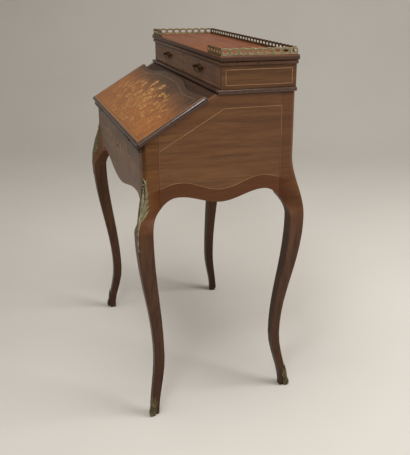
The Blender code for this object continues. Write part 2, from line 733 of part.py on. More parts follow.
def build_drawer(root, side, side_name, stile_in, back_face):
    """One drawer with its pull, in a frame at the middle of its front face."""
    inner = DIVIDER_THICK / 2
    middle = (inner + stile_in) / 2
    half = (stile_in - inner) / 2 - REVEAL
    carrier = empty("drawer_slide_" + side_name, (side * middle, CASE_FRONT, DECK_TOP), parent=root)
    front_high = CASE_CLEAR - REVEAL
    name = "drawer_front_" + side_name
    add_piece(name, box_mesh(name, (-half, 0, REVEAL), (half, DRAWER_FRONT_THICK, front_high)),
              "side_veneer", carrier)
    name = "drawer_box_" + side_name
    deep = back_face - CASE_FRONT - DRAWER_BACK_SPACE
    box = tray_mesh(name, (-half + SLIDE_GAP, DRAWER_FRONT_THICK + SEAT, SEAT),
                    (half - SLIDE_GAP, deep, CASE_CLEAR - DRAWER_LOW), DRAWER_WALL)
    add_piece(name, box, "drawer_lining", carrier)

    eye_z = CASE_CLEAR / 2 + PULL_EYE_RISE
    name = "pull_plate_" + side_name
    plate = add_piece(name, plate_mesh(name, plate_outline(), SEAT, SEAT + PULL_PLATE_THICK),
                      "dark_brass", carrier, (0, 0, eye_z), FACING_FRONT)
    for end in (-1, 1):
        post = cylinder_mesh("post", POST_RADIUS, 0, POST_REACH, 16)
        post = add_cutter(name + "_post_" + str(end), post, carrier,
                          (end * PULL_SPAN / 2, -SEAT - PULL_PLATE_THICK / 2, eye_z),
                          (0, 0, -math.pi / 2))
        combine(plate, post, "UNION")
    reach = PULL_SPAN / 2 + 2 * POST_RADIUS
    eye = add_cutter(name + "_eye", cylinder_mesh("eye", BAIL_WIRE + PIN_GAP, -reach, reach, 12),
                     carrier, (0, -POST_EYE, eye_z))
    combine(plate, eye, "DIFFERENCE")

    swing = empty("bail_pivot_" + side_name, (0, -POST_EYE, eye_z), parent=carrier)
    name = "bail_" + side_name
    add_piece(name, bail_curve(name), "dark_brass", swing)


def plate_outline():
    """A waisted cartouche: a lobe round each post and a swell in the middle."""
    outline = []
    for turn in spread(0, 360, 48)[:-1]:
        angle = math.radians(turn)
        across = math.cos(angle) * PULL_PLATE_WIDTH / 2
        waist = 1 - PULL_PLATE_WAIST * (1 - math.cos(4 * math.pi * across / PULL_PLATE_WIDTH))
        outline.append((across, math.sin(angle) * waist * PULL_PLATE_TALL / 2))
    return outline


def bail_curve(name):
    """A wire that leaves each post outwards, turns down and hangs in a shallow bow."""
    start = PULL_SPAN / 2 - BAIL_TUCK
    shoulder = PULL_SPAN / 2 + BAIL_SHOULDER
    right = [(start, 0.0)]
    for turn in spread(90, -20, 5):
        angle = math.radians(turn)
        bend = BAIL_SHOULDER / 2
        right.append((shoulder - bend + bend * math.cos(angle), -bend + bend * math.sin(angle)))
    low_x, low_z = right[-1]
    for share in spread(0, 1, 6)[1:]:
        right.append((low_x * (1 - share), ease(low_z, -BAIL_DROP, math.sqrt(share))))
    left = [(-x, z) for x, z in reversed(right[:-1])]
    curve = bpy.data.curves.new(name, "CURVE")
    curve.dimensions = "3D"
    curve.bevel_depth = BAIL_WIRE
    curve.bevel_resolution = 1
    curve.use_fill_caps = True
    spline = curve.splines.new("POLY")
    spline.points.add(len(right) + len(left) - 1)
    for point, (x, z) in zip(spline.points, right + left):
        point.co = (x, 0, z, 1)
    return curve


# Gallery
def gallery_outlines(length):
    """A pierced strip: a plain band, round-headed openings, and a scalloped rail above them."""
    count = max(round(length / GALLERY_PITCH), 1)
    pitch = length / count
    edge = [(0.0, 0.0), (length, 0.0)]
    for index in reversed(range(count)):
        for share in spread(1, 0, 6)[:-1]:
            hump = GALLERY_HUMP * math.sin(math.pi * share)
            edge.append(((index + share) * pitch, GALLERY_TALL + hump))
    edge.append((0.0, GALLERY_TALL))
    holes = []
    half = (pitch - GALLERY_BAR) / 2
    sill = GALLERY_BAND
    crown = GALLERY_TALL - GALLERY_RAIL
    for index in range(count):
        middle = (index + 0.5) * pitch
        foot = half * GALLERY_SILL
        hole = [(middle - foot, sill), (middle + foot, sill), (middle + half, sill + foot)]
        for turn in spread(0, 180, 5):
            angle = math.radians(turn)
            hole.append((middle + half * math.cos(angle),
                         crown - GALLERY_HUMP + GALLERY_HUMP * math.sin(angle)))
        hole.append((middle - half, sill + foot))
        holes.append(hole)
    return [edge] + holes


def build_gallery(root):
    out_x = HALF_W + TOP_NOSE - GALLERY_INSET
    back_y = HALF_D + TOP_BACK_NOSE - GALLERY_INSET
    front_y = CASE_FRONT - TOP_FRONT_NOSE + GALLERY_INSET
    base = TABLE_TOP + SEAT
    half = GALLERY_THICK / 2
    side_length = back_y - front_y
    back_length = 2 * (out_x - GALLERY_THICK - SEAT)
    add_piece("gallery_back", outline_curve("gallery_back", gallery_outlines(back_length), GALLERY_THICK),
              "dark_brass", root, (-back_length / 2, back_y - half, base), FACING_FRONT)
    for side, side_name in ((-1, "left"), (1, "right")):
        name = "gallery_" + side_name
        add_piece(name, outline_curve(name, gallery_outlines(side_length), GALLERY_THICK), "brass", root,
                  (side * (out_x - half), front_y, base), FACING_SIDE)
        name = "gallery_return_" + side_name
        near = out_x - GALLERY_THICK - SEAT
        start = near - RETURN_LENGTH if side > 0 else -near
        add_piece(name, outline_curve(name, gallery_outlines(RETURN_LENGTH), GALLERY_THICK), "brass",
                  root, (start, front_y + half, base), FACING_FRONT)


# Fitted interior
def build_gradin(root):
    """A shelf crossed by two partitions, halved into each other."""
    low = BED_HEIGHT + SEAT
    top = DECK_HEIGHT - SEAT
    crossing = (GRADIN_FRONT + POST_IN_Y) / 2
    slot = GRADIN_BOARD / 2 + SEAT
    half = [(SIDE_IN_X, GRADIN_FRONT), (SIDE_IN_X, POST_IN_Y), (POST_IN_X, POST_IN_Y),
            (POST_IN_X, BACK_IN_Y), (PARTITION_OFFSET + slot, BACK_IN_Y),
            (PARTITION_OFFSET + slot, crossing), (PARTITION_OFFSET - slot, crossing),
            (PARTITION_OFFSET - slot, BACK_IN_Y)]
    shelf = half + [(-x, y) for x, y in reversed(half)]
    shelf_middle = SHELF_HEIGHT + GRADIN_BOARD / 2
    add_piece("gradin_shelf", outline_curve("gradin_shelf", [shelf], GRADIN_BOARD), "side_veneer", root,
              (0, 0, shelf_middle))
    notch_low = SHELF_HEIGHT - SEAT
    notch_high = SHELF_HEIGHT + GRADIN_BOARD + SEAT
    partition = [(GRADIN_FRONT, low), (BACK_IN_Y, low), (BACK_IN_Y, top), (GRADIN_FRONT, top),
                 (GRADIN_FRONT, notch_high), (crossing + SEAT, notch_high), (crossing + SEAT, notch_low),
                 (GRADIN_FRONT, notch_low)]
    for side, side_name in ((-1, "left"), (1, "right")):
        name = "gradin_partition_" + side_name
        add_piece(name, outline_curve(name, [partition], GRADIN_BOARD), "side_veneer", root,
                  (side * PARTITION_OFFSET, 0, 0), FACING_SIDE)
        build_small_drawer(root, side, side_name)


def knob_profile():
    """Half section of a turned knob: a flattened ball, its neck and a spreading base."""
    ball_half = KNOB_BALL / 2
    middle = KNOB_REACH - ball_half
    profile = []
    for turn in spread(0, 130, 5):
        angle = math.radians(turn)
        profile.append((KNOB_RADIUS * math.sin(angle), middle + ball_half * math.cos(angle)))
    profile.append((KNOB_NECK, middle - ball_half))
    profile.append((KNOB_NECK, KNOB_BASE_THICK))
    return profile + [(KNOB_BASE, 0.0), (0.0, 0.0)]


def build_small_drawer(root, side, side_name):
    inner = PARTITION_OFFSET + GRADIN_BOARD / 2
    middle = (inner + SIDE_IN_X) / 2
    half = (SIDE_IN_X - inner) / 2 - SLIDE_GAP
    place = (side * middle, GRADIN_FRONT, BED_HEIGHT)
    carrier = empty("small_drawer_slide_" + side_name, place, parent=root)
    name = "small_drawer_" + side_name
    tall = GRADIN_TIER - REVEAL
    add_piece(name, tray_mesh(name, (-half, 0, SEAT), (half, SMALL_DEPTH, tall), SMALL_WALL),
              "drawer_lining", carrier)
    name = "small_knob_" + side_name
    knob = bpy.data.meshes.new(name)
    profile = knob_profile()
    edges = [(index, index + 1) for index in range(len(profile) - 1)]
    knob.from_pydata([(radius, 0, height) for radius, height in profile], edges, [])
    piece = add_piece(name, knob, "brass", carrier, (0, -SEAT, tall / 2), FACING_FRONT)
    turning = piece.modifiers.new("turning", "SCREW")
    turning.steps = 16
    turning.render_steps = 16
    turning.use_merge_vertices = True
    turning.merge_threshold = 0.0001


root = empty("desk", (0, 0, 0))
build_legs(root)
build_carcass(root)
bed, nosing = build_bed(root)
hinge_axis = empty("fall_axis", (0, AXIS_Y, AXIS_Z), parent=root)
fall_pivot = empty("fall_pivot", (0, AXIS_Y, AXIS_Z), (SLOPE, 0, 0), root)
panel, lip = build_fall(fall_pivot)
build_hinges(hinge_axis, fall_pivot, bed, nosing, panel, lip)
stile_in, back_face = build_case(root)
build_drawer(root, -1, "left", stile_in, back_face)
build_drawer(root, 1, "right", stile_in, back_face)
build_gallery(root)
build_gradin(root)
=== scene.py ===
"""Looks of the slant-front desk: finishes, eased edges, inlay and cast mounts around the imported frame."""
import json
import math

import bpy
from mathutils import Matrix, Vector
from mathutils.bvhtree import BVHTree


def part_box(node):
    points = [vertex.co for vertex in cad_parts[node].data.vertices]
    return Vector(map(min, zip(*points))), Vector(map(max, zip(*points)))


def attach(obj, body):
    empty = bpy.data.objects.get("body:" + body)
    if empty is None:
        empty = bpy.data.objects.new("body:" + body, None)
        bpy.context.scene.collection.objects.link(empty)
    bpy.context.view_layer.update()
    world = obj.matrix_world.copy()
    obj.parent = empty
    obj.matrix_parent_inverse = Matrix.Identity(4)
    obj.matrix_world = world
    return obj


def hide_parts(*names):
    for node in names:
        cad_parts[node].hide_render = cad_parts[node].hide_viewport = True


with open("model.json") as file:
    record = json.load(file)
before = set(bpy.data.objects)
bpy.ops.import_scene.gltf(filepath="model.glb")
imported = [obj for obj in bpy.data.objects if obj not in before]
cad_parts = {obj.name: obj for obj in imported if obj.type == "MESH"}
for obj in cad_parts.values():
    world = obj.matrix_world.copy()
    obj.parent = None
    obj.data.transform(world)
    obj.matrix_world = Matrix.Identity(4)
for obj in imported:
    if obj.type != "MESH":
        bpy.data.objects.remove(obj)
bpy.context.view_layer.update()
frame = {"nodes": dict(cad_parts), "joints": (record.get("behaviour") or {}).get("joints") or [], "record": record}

X, Y, Z = 0, 1, 2
ACROSS = Vector((1, 0, 0))
BACKWARD = Vector((0, 1, 0))
UP = Vector((0, 0, 1))
SIDES = (("left", -1), ("right", 1))
ENDS = (("front", -1), ("back", 1))

# Camera at the photograph's view
CAMERA_PLACE = (1.6479, -0.4759, 1.0629)
CAMERA_TURN = (71.649, -0.872, 67.968)
CAMERA_LENS = 49.48
CAMERA_SHIFT = (-0.0995, -0.0824)
CAMERA_SENSOR = 36.0
CAMERA_NEAR = 0.05

# Places taken from the frame
HALF_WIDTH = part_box("side_panel_right")[1].x
FRONT_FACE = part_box("front_apron")[0].y
TOP_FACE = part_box("top_board")[1].z
HINGE = Vector(next(joint["pos_m"] for joint in frame["joints"] if joint["name"] == "fall_hinge"))
SLOPE = math.radians(31.0)
UP_SLOPE = Vector((0, math.cos(SLOPE), math.sin(SLOPE)))
OFF_SLOPE = Vector((0, -math.sin(SLOPE), math.cos(SLOPE)))


def tone(code):
    """A colour written as on a paint card, as the shader's linear red, green, blue and alpha."""
    parts = [int(code[place:place + 2], 16) / 255 for place in (1, 3, 5)]
    return (*[part / 12.92 if part <= 0.04045 else ((part + 0.055) / 1.055) ** 2.4 for part in parts], 1.0)


# Finishes
class Value:
    """A socket of a finish: arithmetic on it adds Math nodes."""

    def __init__(self, finish, socket):
        self.finish = finish
        self.socket = socket

    def math(self, operation, *others):
        return self.finish.node("ShaderNodeMath", {"operation": operation}, dict(enumerate((self, *others))))

    def __add__(self, other):
        return self.math("ADD", other)

    def __sub__(self, other):
        return self.math("SUBTRACT", other)

    def __rsub__(self, other):
        return self.finish.node("ShaderNodeMath", {"operation": "SUBTRACT"}, {0: other, 1: self})

    def __mul__(self, other):
        return self.math("MULTIPLY", other)

    __radd__ = __add__
    __rmul__ = __mul__

    def absolute(self):
        return self.math("ABSOLUTE")

    def cosine(self):
        return self.math("COSINE")

    def step(self, low, high):
        """0 below low, 1 above high, and smooth between them; the other way round if low is the larger."""
        values = {"Value": self, "From Min": low, "From Max": high}
        return self.finish.node("ShaderNodeMapRange", {"interpolation_type": "SMOOTHSTEP"}, values)


class Finish:
    """A material whose pattern is worked out from the piece's own place."""

    def __init__(self, name, constants):
        self.material = bpy.data.materials.new(name)
        self.material.use_nodes = True
        self.tree = self.material.node_tree
        self.shader = self.tree.nodes["Principled BSDF"]
        for socket, value in constants.items():
            self.shader.inputs[socket].default_value = value
        self.place = self.node("ShaderNodeTexCoord", output="Object")
        self.x, self.y, self.z = self.parts(self.place)

    def node(self, kind, settings=None, values=None, output=0):
        made = self.tree.nodes.new(kind)
        for key, value in (settings or {}).items():
            setattr(made, key, value)
        for key, value in (values or {}).items():
            self.feed(made.inputs[key], value)
        return Value(self, made.outputs[output])

    def feed(self, socket, value):
        if isinstance(value, Value):
            self.tree.links.new(value.socket, socket)
        else:
            socket.default_value = tone(value) if isinstance(value, str) else value

    def parts(self, vector):
        return [self.node("ShaderNodeSeparateXYZ", values={0: vector}, output=axis) for axis in (X, Y, Z)]

    def stretched(self, scale, shift=(0, 0, 0), turn=(0, 0, 0)):
        values = {"Vector": self.place, "Location": shift, "Rotation": turn, "Scale": scale}
        return self.node("ShaderNodeMapping", values=values)

    def noise(self, place, size, detail=2.0, roughness=0.5, distortion=0.0):
        """Cloudy noise whose features are about size metres across."""
        values = {"Vector": place, "Scale": 1 / size, "Detail": detail, "Roughness": roughness,
                  "Distortion": distortion}
        return self.node("ShaderNodeTexNoise", values=values)

    def mix(self, share, first, second):
        return self.node("ShaderNodeMix", {"data_type": "RGBA"}, {0: share, 6: first, 7: second}, output=2)

    def edges(self, radius):
        """1 along edges and in corners, 0 on open faces."""
        rounded = self.node("ShaderNodeBevel", {"samples": 4}, {"Radius": radius})
        plain = self.node("ShaderNodeNewGeometry", output="Normal")
        agree = self.node("ShaderNodeVectorMath", {"operation": "DOT_PRODUCT"}, {0: rounded, 1: plain},
                          output="Value")
        return agree.step(0.995, 0.86)

    def bump(self, height, depth):
        values = {"Height": height, "Distance": depth, "Strength": 1.0}
        return self.node("ShaderNodeBump", values=values)

    def use(self, colour, roughness, normal=None, metallic=None):
        self.feed(self.shader.inputs["Base Color"], colour)
        self.feed(self.shader.inputs["Roughness"], roughness)
        if normal is not None:
            self.feed(self.shader.inputs["Normal"], normal)
        if metallic is not None:
            self.feed(self.shader.inputs["Metallic"], metallic)
        return self.material


def veneer(finish, grain, pale, deep, streak, figure, seed, turn=(0, 0, 0)):
    """The colour of a veneer with its grain along one axis, and its fibres and pores as heights."""
    stretch = [1.0, 1.0, 1.0]
    stretch[grain] = 0.06
    shift = (seed, seed * 0.7, seed * 1.3)
    lines = finish.stretched(stretch, shift, turn)
    stretch[grain] = 0.025
    hairs = finish.stretched(stretch, shift, turn)
    broad = finish.noise(finish.stretched((1, 1, 1), shift, turn), 0.11, 2.0)
    bands = finish.noise(lines, streak * 2.2, 3.0, 0.55, 0.6)
    streaks = finish.noise(lines, streak, 4.0, 0.65, 0.3)
    fibres = finish.noise(hairs, 0.0016, 2.0, 0.6)
    pores = finish.noise(hairs, 0.0007, 1.0).step(0.60, 0.72)
    share = bands.step(0.30, 0.70) * 0.45 + streaks.step(0.28, 0.72) * 0.35 + fibres * 0.20
    share = share + (broad - 0.5) * figure
    colour = finish.mix(share.step(0.0, 1.0), deep, pale)
    return finish.mix(pores * 0.30, colour, "#1c0f09"), fibres, pores


def waxed(finish, colour, fibres, pores, gloss, wear="#9a7048", grain_depth=0.00010):
    """Rub the edges, smear the polish and open the grain a little."""
    rubbed = finish.edges(0.0016) * finish.noise(finish.place, 0.012, 3.0).step(0.40, 0.70)
    colour = finish.mix(rubbed * 0.3, colour, wear)
    smears = finish.noise(finish.place, 0.05, 4.0, 0.6)
    roughness = gloss + (smears - 0.5) * 0.16 + pores * 0.10
    normal = finish.bump(fibres * 0.35 - pores * 0.65, grain_depth)
    return finish.use(colour, roughness, normal)


def wood(name, grain, pale, deep, streak, figure, gloss, coat, seed, turn=(0, 0, 0), tint=None,
         wear="#9a7048", polish=0.20):
    """A waxed veneer with its grain along one axis."""
    finish = Finish(name, {"Coat Weight": coat, "Coat Roughness": polish, "Specular IOR Level": WOOD_SHINE})
    colour, fibres, pores = veneer(finish, grain, pale, deep, streak, figure, seed, turn)
    if tint:
        colour = tint(finish, colour)
    return waxed(finish, colour, fibres, pores, gloss, wear)


# Pale and deep tones, streaks and shine of the woods that more than one finish uses
SIDE_TONES = ("#7a5331", "#583921")
FRONT_TONES = ("#855c3d", "#604129")
LEG_TONES = ("#634532", "#472f24")
MOULDING_TONES = ("#563929", "#38261c")
BORDER_TONES = ("#40271b", "#26160f")
SIDE_STREAK = 0.0075
MOULDING_STREAK = 0.005
WOOD_SHINE = 0.30

# Heights between which the corner posts pass into the legs, and the depths between front and back legs
POST_FOOT, POST_HEAD = 0.45, 0.585
MID_DEPTH = (-0.05, 0.05)


def leg_wood():
    """Solid legs, dark and red, under corner posts veneered as the panels beside them; painted shade darkens the
    legs' inner faces, and painted sheen greys the back posts.
    """
    finish = Finish("leg_wood", {"Coat Weight": 0.03, "Coat Roughness": 0.25, "Specular IOR Level": 0.13})
    solid, fibres, pores = veneer(finish, Z, *LEG_TONES, 0.006, 0.25, 1.0)
    beside = veneer(finish, Y, *SIDE_TONES, SIDE_STREAK, 0.30, 2.0)[0]
    ahead = veneer(finish, X, *FRONT_TONES, SIDE_STREAK, 0.30, 3.0)[0]
    behind = finish.y.step(*MID_DEPTH)
    # Painted sheen: the back posts are mixed towards a greyer, bluer tone.
    beside = finish.mix(behind * 0.16, redder_below_wave(finish, beside), "#5e4440")
    sideways, endways, _ = finish.parts(finish.node("ShaderNodeTexCoord", output="Normal"))
    post = finish.mix(sideways.absolute().step(0.45, 0.75), ahead, beside)
    solid = finish.mix(finish.z.step(0.48, 0.05) * 0.45, solid, "#24140d")
    colour = finish.mix(finish.z.step(POST_FOOT, POST_HEAD), solid, post)
    # Painted shade: the faces turned in towards the desk are darkened, the back legs' the most.
    inward = 0.0 - sideways * finish.x.math("SIGN") - endways * finish.y.math("SIGN")
    darkening = behind * 0.36 + 0.12
    colour = finish.mix(inward.step(0.2, 0.8) * darkening, colour, "#22130b")
    return waxed(finish, colour, fibres, pores, 0.42)


def brass(name, bright, dull, deep, gloss, darkening):
    """Old cast brass: bright on what is rubbed, dull on open faces, dark in the hollows."""
    finish = Finish(name, {"Specular IOR Level": 0.5})
    cloud = finish.noise(finish.place, 0.010, 4.0, 0.6)
    specks = finish.noise(finish.place, 0.0018, 3.0, 0.6)
    tarnish = (cloud * 0.6 + specks * 0.4).step(0.40, 0.64)
    hollow = finish.node("ShaderNodeAmbientOcclusion", {"samples": 6},
                         {"Distance": 0.005}, output="AO").step(0.85, 0.45)
    colour = finish.mix(tarnish * 0.7, bright, dull)
    colour = finish.mix(hollow * darkening + tarnish * 0.12, colour, deep)
    rubbed = finish.edges(0.0009) * 0.6
    colour = finish.mix(rubbed, colour, bright)
    roughness = gloss + tarnish * 0.18 + hollow * 0.20
    normal = finish.bump(specks * 0.6 + cloud * 0.4, 0.00012)
    return finish.use(colour, roughness, normal, 1.0 - hollow * 0.45)


def leather(name):
    """Dark red-brown writing leather with a fine pebble grain, paler where arms have rubbed it."""
    finish = Finish(name, {"Specular IOR Level": 0.35})
    cells = finish.node("ShaderNodeTexVoronoi", {"feature": "DISTANCE_TO_EDGE"},
                        {"Vector": finish.place, "Scale": 900.0}, output="Distance")
    cloud = finish.noise(finish.place, 0.06, 4.0, 0.6)
    grain = cells.step(0.0, 0.22)
    colour = finish.mix(cloud.step(0.35, 0.70), "#4a1f14", "#6d3421")
    colour = finish.mix((1.0 - grain) * 0.45, colour, "#200c08")
    roughness = 0.56 - cloud * 0.14
    return finish.use(colour, roughness, finish.bump(grain, 0.00010))


# The inlaid line of the sides runs parallel to their shaped lower edge, which a cosine follows
WAVE_LOW = 0.594
WAVE_RISE = 0.0125
WAVE_LENGTH = 0.208


def wave_height(y):
    return WAVE_LOW + WAVE_RISE * (1 - math.cos(2 * math.pi * y / WAVE_LENGTH))


def redder_below_wave(finish, colour):
    """The side veneer has redder patches and a redder band below; painted shade darkens it towards the upper back.
    """
    wave = WAVE_LOW + WAVE_RISE * (1 - (finish.y * (2 * math.pi / WAVE_LENGTH)).cosine())
    height = finish.z - wave
    sharp = height.step(0.0004, -0.0004)
    post = finish.y.absolute().step(0.150, 0.190)
    below = sharp + (height.step(0.035, -0.035) - sharp) * post
    # Painted shade, darker towards the upper back.
    upper_back_shade = (finish.y * 0.7 + finish.z).step(0.60, 0.92)
    colour = finish.mix(upper_back_shade * 0.36, colour, "#4c3022")
    flames = finish.noise(finish.stretched((1, 0.18, 1), (4.0, 2.8, 5.2)), 0.026, 3.0, 0.6, 0.8)
    colour = finish.mix(flames.step(0.46, 0.66) * 0.42, colour, "#5e3620")
    return finish.mix(below * (0.80 - post * 0.45), colour, "#552a06")


def dark_edge(finish, colour):
    """Only the upper face of the top is red; its moulded edge is as dark as the cornice."""
    face = finish.z.step(TOP_FACE - 0.0012, TOP_FACE - 0.0002)
    return finish.mix(1.0 - face, colour, "#4b3020")


def worn_line(finish, colour):
    """Old polish has darkened the lines in places, most of all low on the sides and on the uprights."""
    patches = finish.noise(finish.place, 0.045, 3.0).step(0.42, 0.62)
    low = finish.z.step(0.74, 0.66)
    colour = finish.mix(patches * 0.40 + low * 0.35 + 0.10, colour, "#7d5836")
    ends = finish.y.absolute().step(0.1480, 0.1488)
    upright = ends * finish.z.step(0.755, 0.695)
    return finish.mix(upright * 0.72, colour, "#6b4629")


def along_fall(finish):
    """How far up the fall from its hinges a point lies."""
    return (finish.y - HINGE.y) * UP_SLOPE.y + (finish.z - HINGE.z) * UP_SLOPE.z


def figured_fall_with_painted_shade(finish, colour):
    """Arched figure across the fall, with painted shade of the upper case darkening its upper end, more on the
    right.
    """
    across = finish.x - 0.10
    up = along_fall(finish) + 0.06
    wander = finish.noise(finish.place, 0.05, 3.0)
    arches = (across * across * 0.5 + up * up).math("SQRT") + wander * 0.022
    figure = (arches * (2 * math.pi / 0.010)).cosine() * 0.5 + 0.5
    colour = finish.mix(figure * 0.26, colour, "#6a3a16")
    # Painted shade of the upper case over the top of the fall, reaching further down on the right.
    crown = (along_fall(finish) + finish.x * 0.06 + (wander - 0.5) * 0.05).step(0.091, 0.190)
    return finish.mix(crown * 0.94, colour, "#331f11")


def veneered_lip(finish, colour):
    """The veneer of the fall runs on over the flat of its border."""
    lip = along_fall(finish).step(0.0078, 0.0072)
    edge = finish.x.absolute().step(0.3072, 0.3078)
    return finish.mix((lip + edge).step(0.0, 1.0), "#8d5a2c", colour)


def nosing_wood():
    """The dark nosing has kept its polish towards the upper end and is rubbed dull below, where painted sheen
    makes it browner.
    """
    finish = Finish("dark_moulding_along_slope", {"Coat Roughness": 0.16, "Specular IOR Level": WOOD_SHINE})
    colour, fibres, pores = veneer(finish, Y, *BORDER_TONES, MOULDING_STREAK, 0.2, 10.0)
    kept = along_fall(finish).step(0.060, 0.175)
    # Painted sheen: the lower part is mixed towards a paler brown.
    colour = finish.mix((1.0 - kept) * 0.55, colour, "#5c4334")
    finish.feed(finish.shader.inputs["Coat Weight"], kept * 0.92 + 0.04)
    return waxed(finish, colour, fibres, pores, 0.34, grain_depth=0.00001)


def deck_wood():
    """The deck's moulded edge is polished at the sides and dull along the front, where painted shade darkens it.
    """
    finish = Finish("deck_moulding_along_width", {"Coat Roughness": 0.14, "Specular IOR Level": WOOD_SHINE})
    colour, fibres, pores = veneer(finish, X, *MOULDING_TONES, MOULDING_STREAK, 0.2, 9.0)
    sides = finish.x.absolute().step(0.29, 0.31)
    # Painted shade along the front of the deck's edge.
    colour = finish.mix((1.0 - sides) * 0.35, colour, "#22150e")
    finish.feed(finish.shader.inputs["Coat Weight"], sides * 0.85 + 0.05)
    return waxed(finish, colour, fibres, pores, 0.40, grain_depth=0.00002)


# Of each wood: name, axis of the grain, pale and deep tone, width of a streak, figure, gloss, coat and seed.
# Of each brass: name, bright, dull and deep tone, gloss and grime.
FINISHES = {
    "leg": leg_wood(),
    "side": wood("side_veneer_along_depth", Y, *SIDE_TONES, SIDE_STREAK, 0.30, 0.42, 0.10, 2.0,
                 tint=redder_below_wave),
    "front": wood("side_veneer_along_width", X, *FRONT_TONES, SIDE_STREAK, 0.30, 0.40, 0.12, 3.0),
    "back": wood("side_veneer_upright", Z, "#6b4a31", "#42301f", 0.010, 0.30, 0.55, 0.05, 4.0),
    "case": wood("case_veneer", X, "#845a40", "#5f3e29", 0.006, 0.30, 0.42, 0.10, 5.0),
    "case_side": wood("case_side_veneer", Y, "#6e4b2b", "#4e321e", 0.006, 0.45, 0.42, 0.10, 6.0),
    "rail": wood("slope_rail_veneer", X, "#452b1a", "#2b1a10", SIDE_STREAK, 0.30, 0.55, 0.0, 3.5),
    "fall": wood("fall_veneer", Y, "#ab6c30", "#854d1f", 0.009, 0.60, 0.40, 0.12, 7.0, (0, 0, 0.35),
                 tint=figured_fall_with_painted_shade),
    "top": wood("top_veneer", X, "#864821", "#5d3015", 0.010, 0.45, 0.46, 0.10, 8.0,
                tint=dark_edge, polish=0.32),
    "moulding_width": wood("dark_moulding_along_width", X, *MOULDING_TONES, MOULDING_STREAK, 0.2, 0.40, 0.10,
                           9.0),
    "cornice": wood("cornice_moulding_along_width", X, "#6a4833", "#483124", MOULDING_STREAK, 0.2, 0.40, 0.10,
                    9.5),
    "moulding_slope": nosing_wood(),
    "deck": deck_wood(),
    "lip": wood("veneered_border", Y, *BORDER_TONES, MOULDING_STREAK, 0.2, 0.34, 0.30, 10.0,
                tint=veneered_lip),
    "lining": wood("drawer_lining", X, "#b08a5c", "#86633c", 0.007, 0.25, 0.60, 0.0, 11.0, wear="#6b4c2c"),
    "brass": brass("pale_brass", "#ad9f7e", "#766b55", "#2b2519", 0.36, 0.85),
    "mount_brass": brass("mount_brass", "#a59d7e", "#4a493a", "#11100c", 0.34, 1.0),
    "shoe_brass": brass("shoe_brass", "#857c5c", "#38332a", "#0d0b08", 0.36, 1.0),
    # Dark brass serves the hinges and, as painted shade, the back gallery.
    "dark_brass": brass("dark_brass", "#7d663c", "#43351f", "#18110a", 0.38, 0.7),
    # The returns' darker brass is painted shade, between the side galleries' brass and the back gallery's.
    "return_brass": brass("return_brass", "#8f8058", "#4b4029", "#18110a", 0.38, 0.8),
    "pull_brass": brass("pull_brass", "#68502f", "#332717", "#120b06", 0.42, 0.9),
    "leather": leather("writing_leather"),
    "gilt": brass("gilt_tooling", "#c9a04a", "#96722f", "#4a3312", 0.40, 0.2),
    "line": wood("pale_stringing", Y, "#ba9467", "#9b754e", 0.004, 0.3, 0.42, 0.10, 12.0, tint=worn_line),
    "fall_line": wood("golden_stringing", Y, "#9a6f3c", "#7c552c", 0.003, 0.4, 0.38, 0.12, 17.0),
    "petal": wood("pale_marquetry", Y, "#d8a460", "#b88244", 0.003, 0.5, 0.34, 0.15, 13.0),
    "foliage": wood("tan_marquetry", Y, "#c08a44", "#97662d", 0.003, 0.5, 0.34, 0.15, 14.0),
    "shade": wood("dark_marquetry", Y, "#a06a35", "#7c4d24", 0.003, 0.5, 0.36, 0.15, 15.0),
    "apron_inlay": wood("faded_marquetry", X, "#b88d62", "#946c48", 0.003, 0.5, 0.40, 0.10, 16.0),
}

# Which finish each node has, and its slot and body in the record
NODE_FINISH = {
    "front_apron": "front", "back_panel": "back", "bottom_board": "lining", "writing_bed": "front",
    "bed_nosing": "moulding_width", "bed_leather": "leather", "slope_rail": "rail", "fall_panel": "fall",
    "fall_lip_bottom": "lip", "fall_leather": "leather", "deck_board": "deck",
    "case_divider": "case", "case_back": "back", "cornice_moulding": "cornice", "top_board": "top",
    # The back gallery's darker brass is painted shade; it is the same brass as the other galleries.
    "gallery_back": "dark_brass", "gradin_shelf": "front",
}
PAIR_FINISH = {
    "side_panel": "side", "fall_lip": "lip", "hinge_bed_leaf": "dark_brass", "hinge_fall_leaf": "dark_brass",
    "hinge_pin": "dark_brass", "case_side": "case_side", "case_stile": "case", "drawer_front": "case",
    "drawer_box": "lining", "pull_plate": "pull_brass", "bail": "pull_brass", "gallery": "brass",
    "gallery_return": "return_brass", "gradin_partition": "back", "small_drawer": "lining",
    "small_knob": "brass", "leg_front": "leg", "leg_back": "leg",
}
for side_name, _ in SIDES:
    NODE_FINISH.update({kind + "_" + side_name: finish for kind, finish in PAIR_FINISH.items()})
NODE_SLOT = {row["node"]: row["material_slot"] for row in frame["record"]["subparts"]}
NODE_BODY = {node: body for body, nodes in frame["record"]["behaviour"]["bodies"].items() for node in nodes}

# The gallery is lower than its solids. An opening has a half width, a middle height and a half height.
GALLERY_SHARE = 0.75
GALLERY_PITCH = 0.0210
GALLERY_TALL = 0.0200 * GALLERY_SHARE
GALLERY_HUMP = 0.0030 * GALLERY_SHARE
GALLERY_OPENING = (0.0080, 0.0114 * GALLERY_SHARE, 0.0059 * GALLERY_SHARE)

# How far the edges of each kind of piece are eased
EASE = {"leg": 0.0007, "gallery": 0.0003, "hinge": 0.0002, "bail": 0.0, "pull": 0.0003, "small_knob": 0.0,
        "fall_lip": 0.0003, "fall_leather": 0.0002, "bed_leather": 0.0002, "default": 0.0006}

# Angles from which an edge is eased, stays sharp in shading or in a leg, or still counts as flat
EASED_ANGLE = math.radians(32)
SOFT_ANGLE, ROUND_ANGLE = 35, 50
LEG_CREASE = math.radians(25)
FLAT_ANGLE = math.radians(0.3)


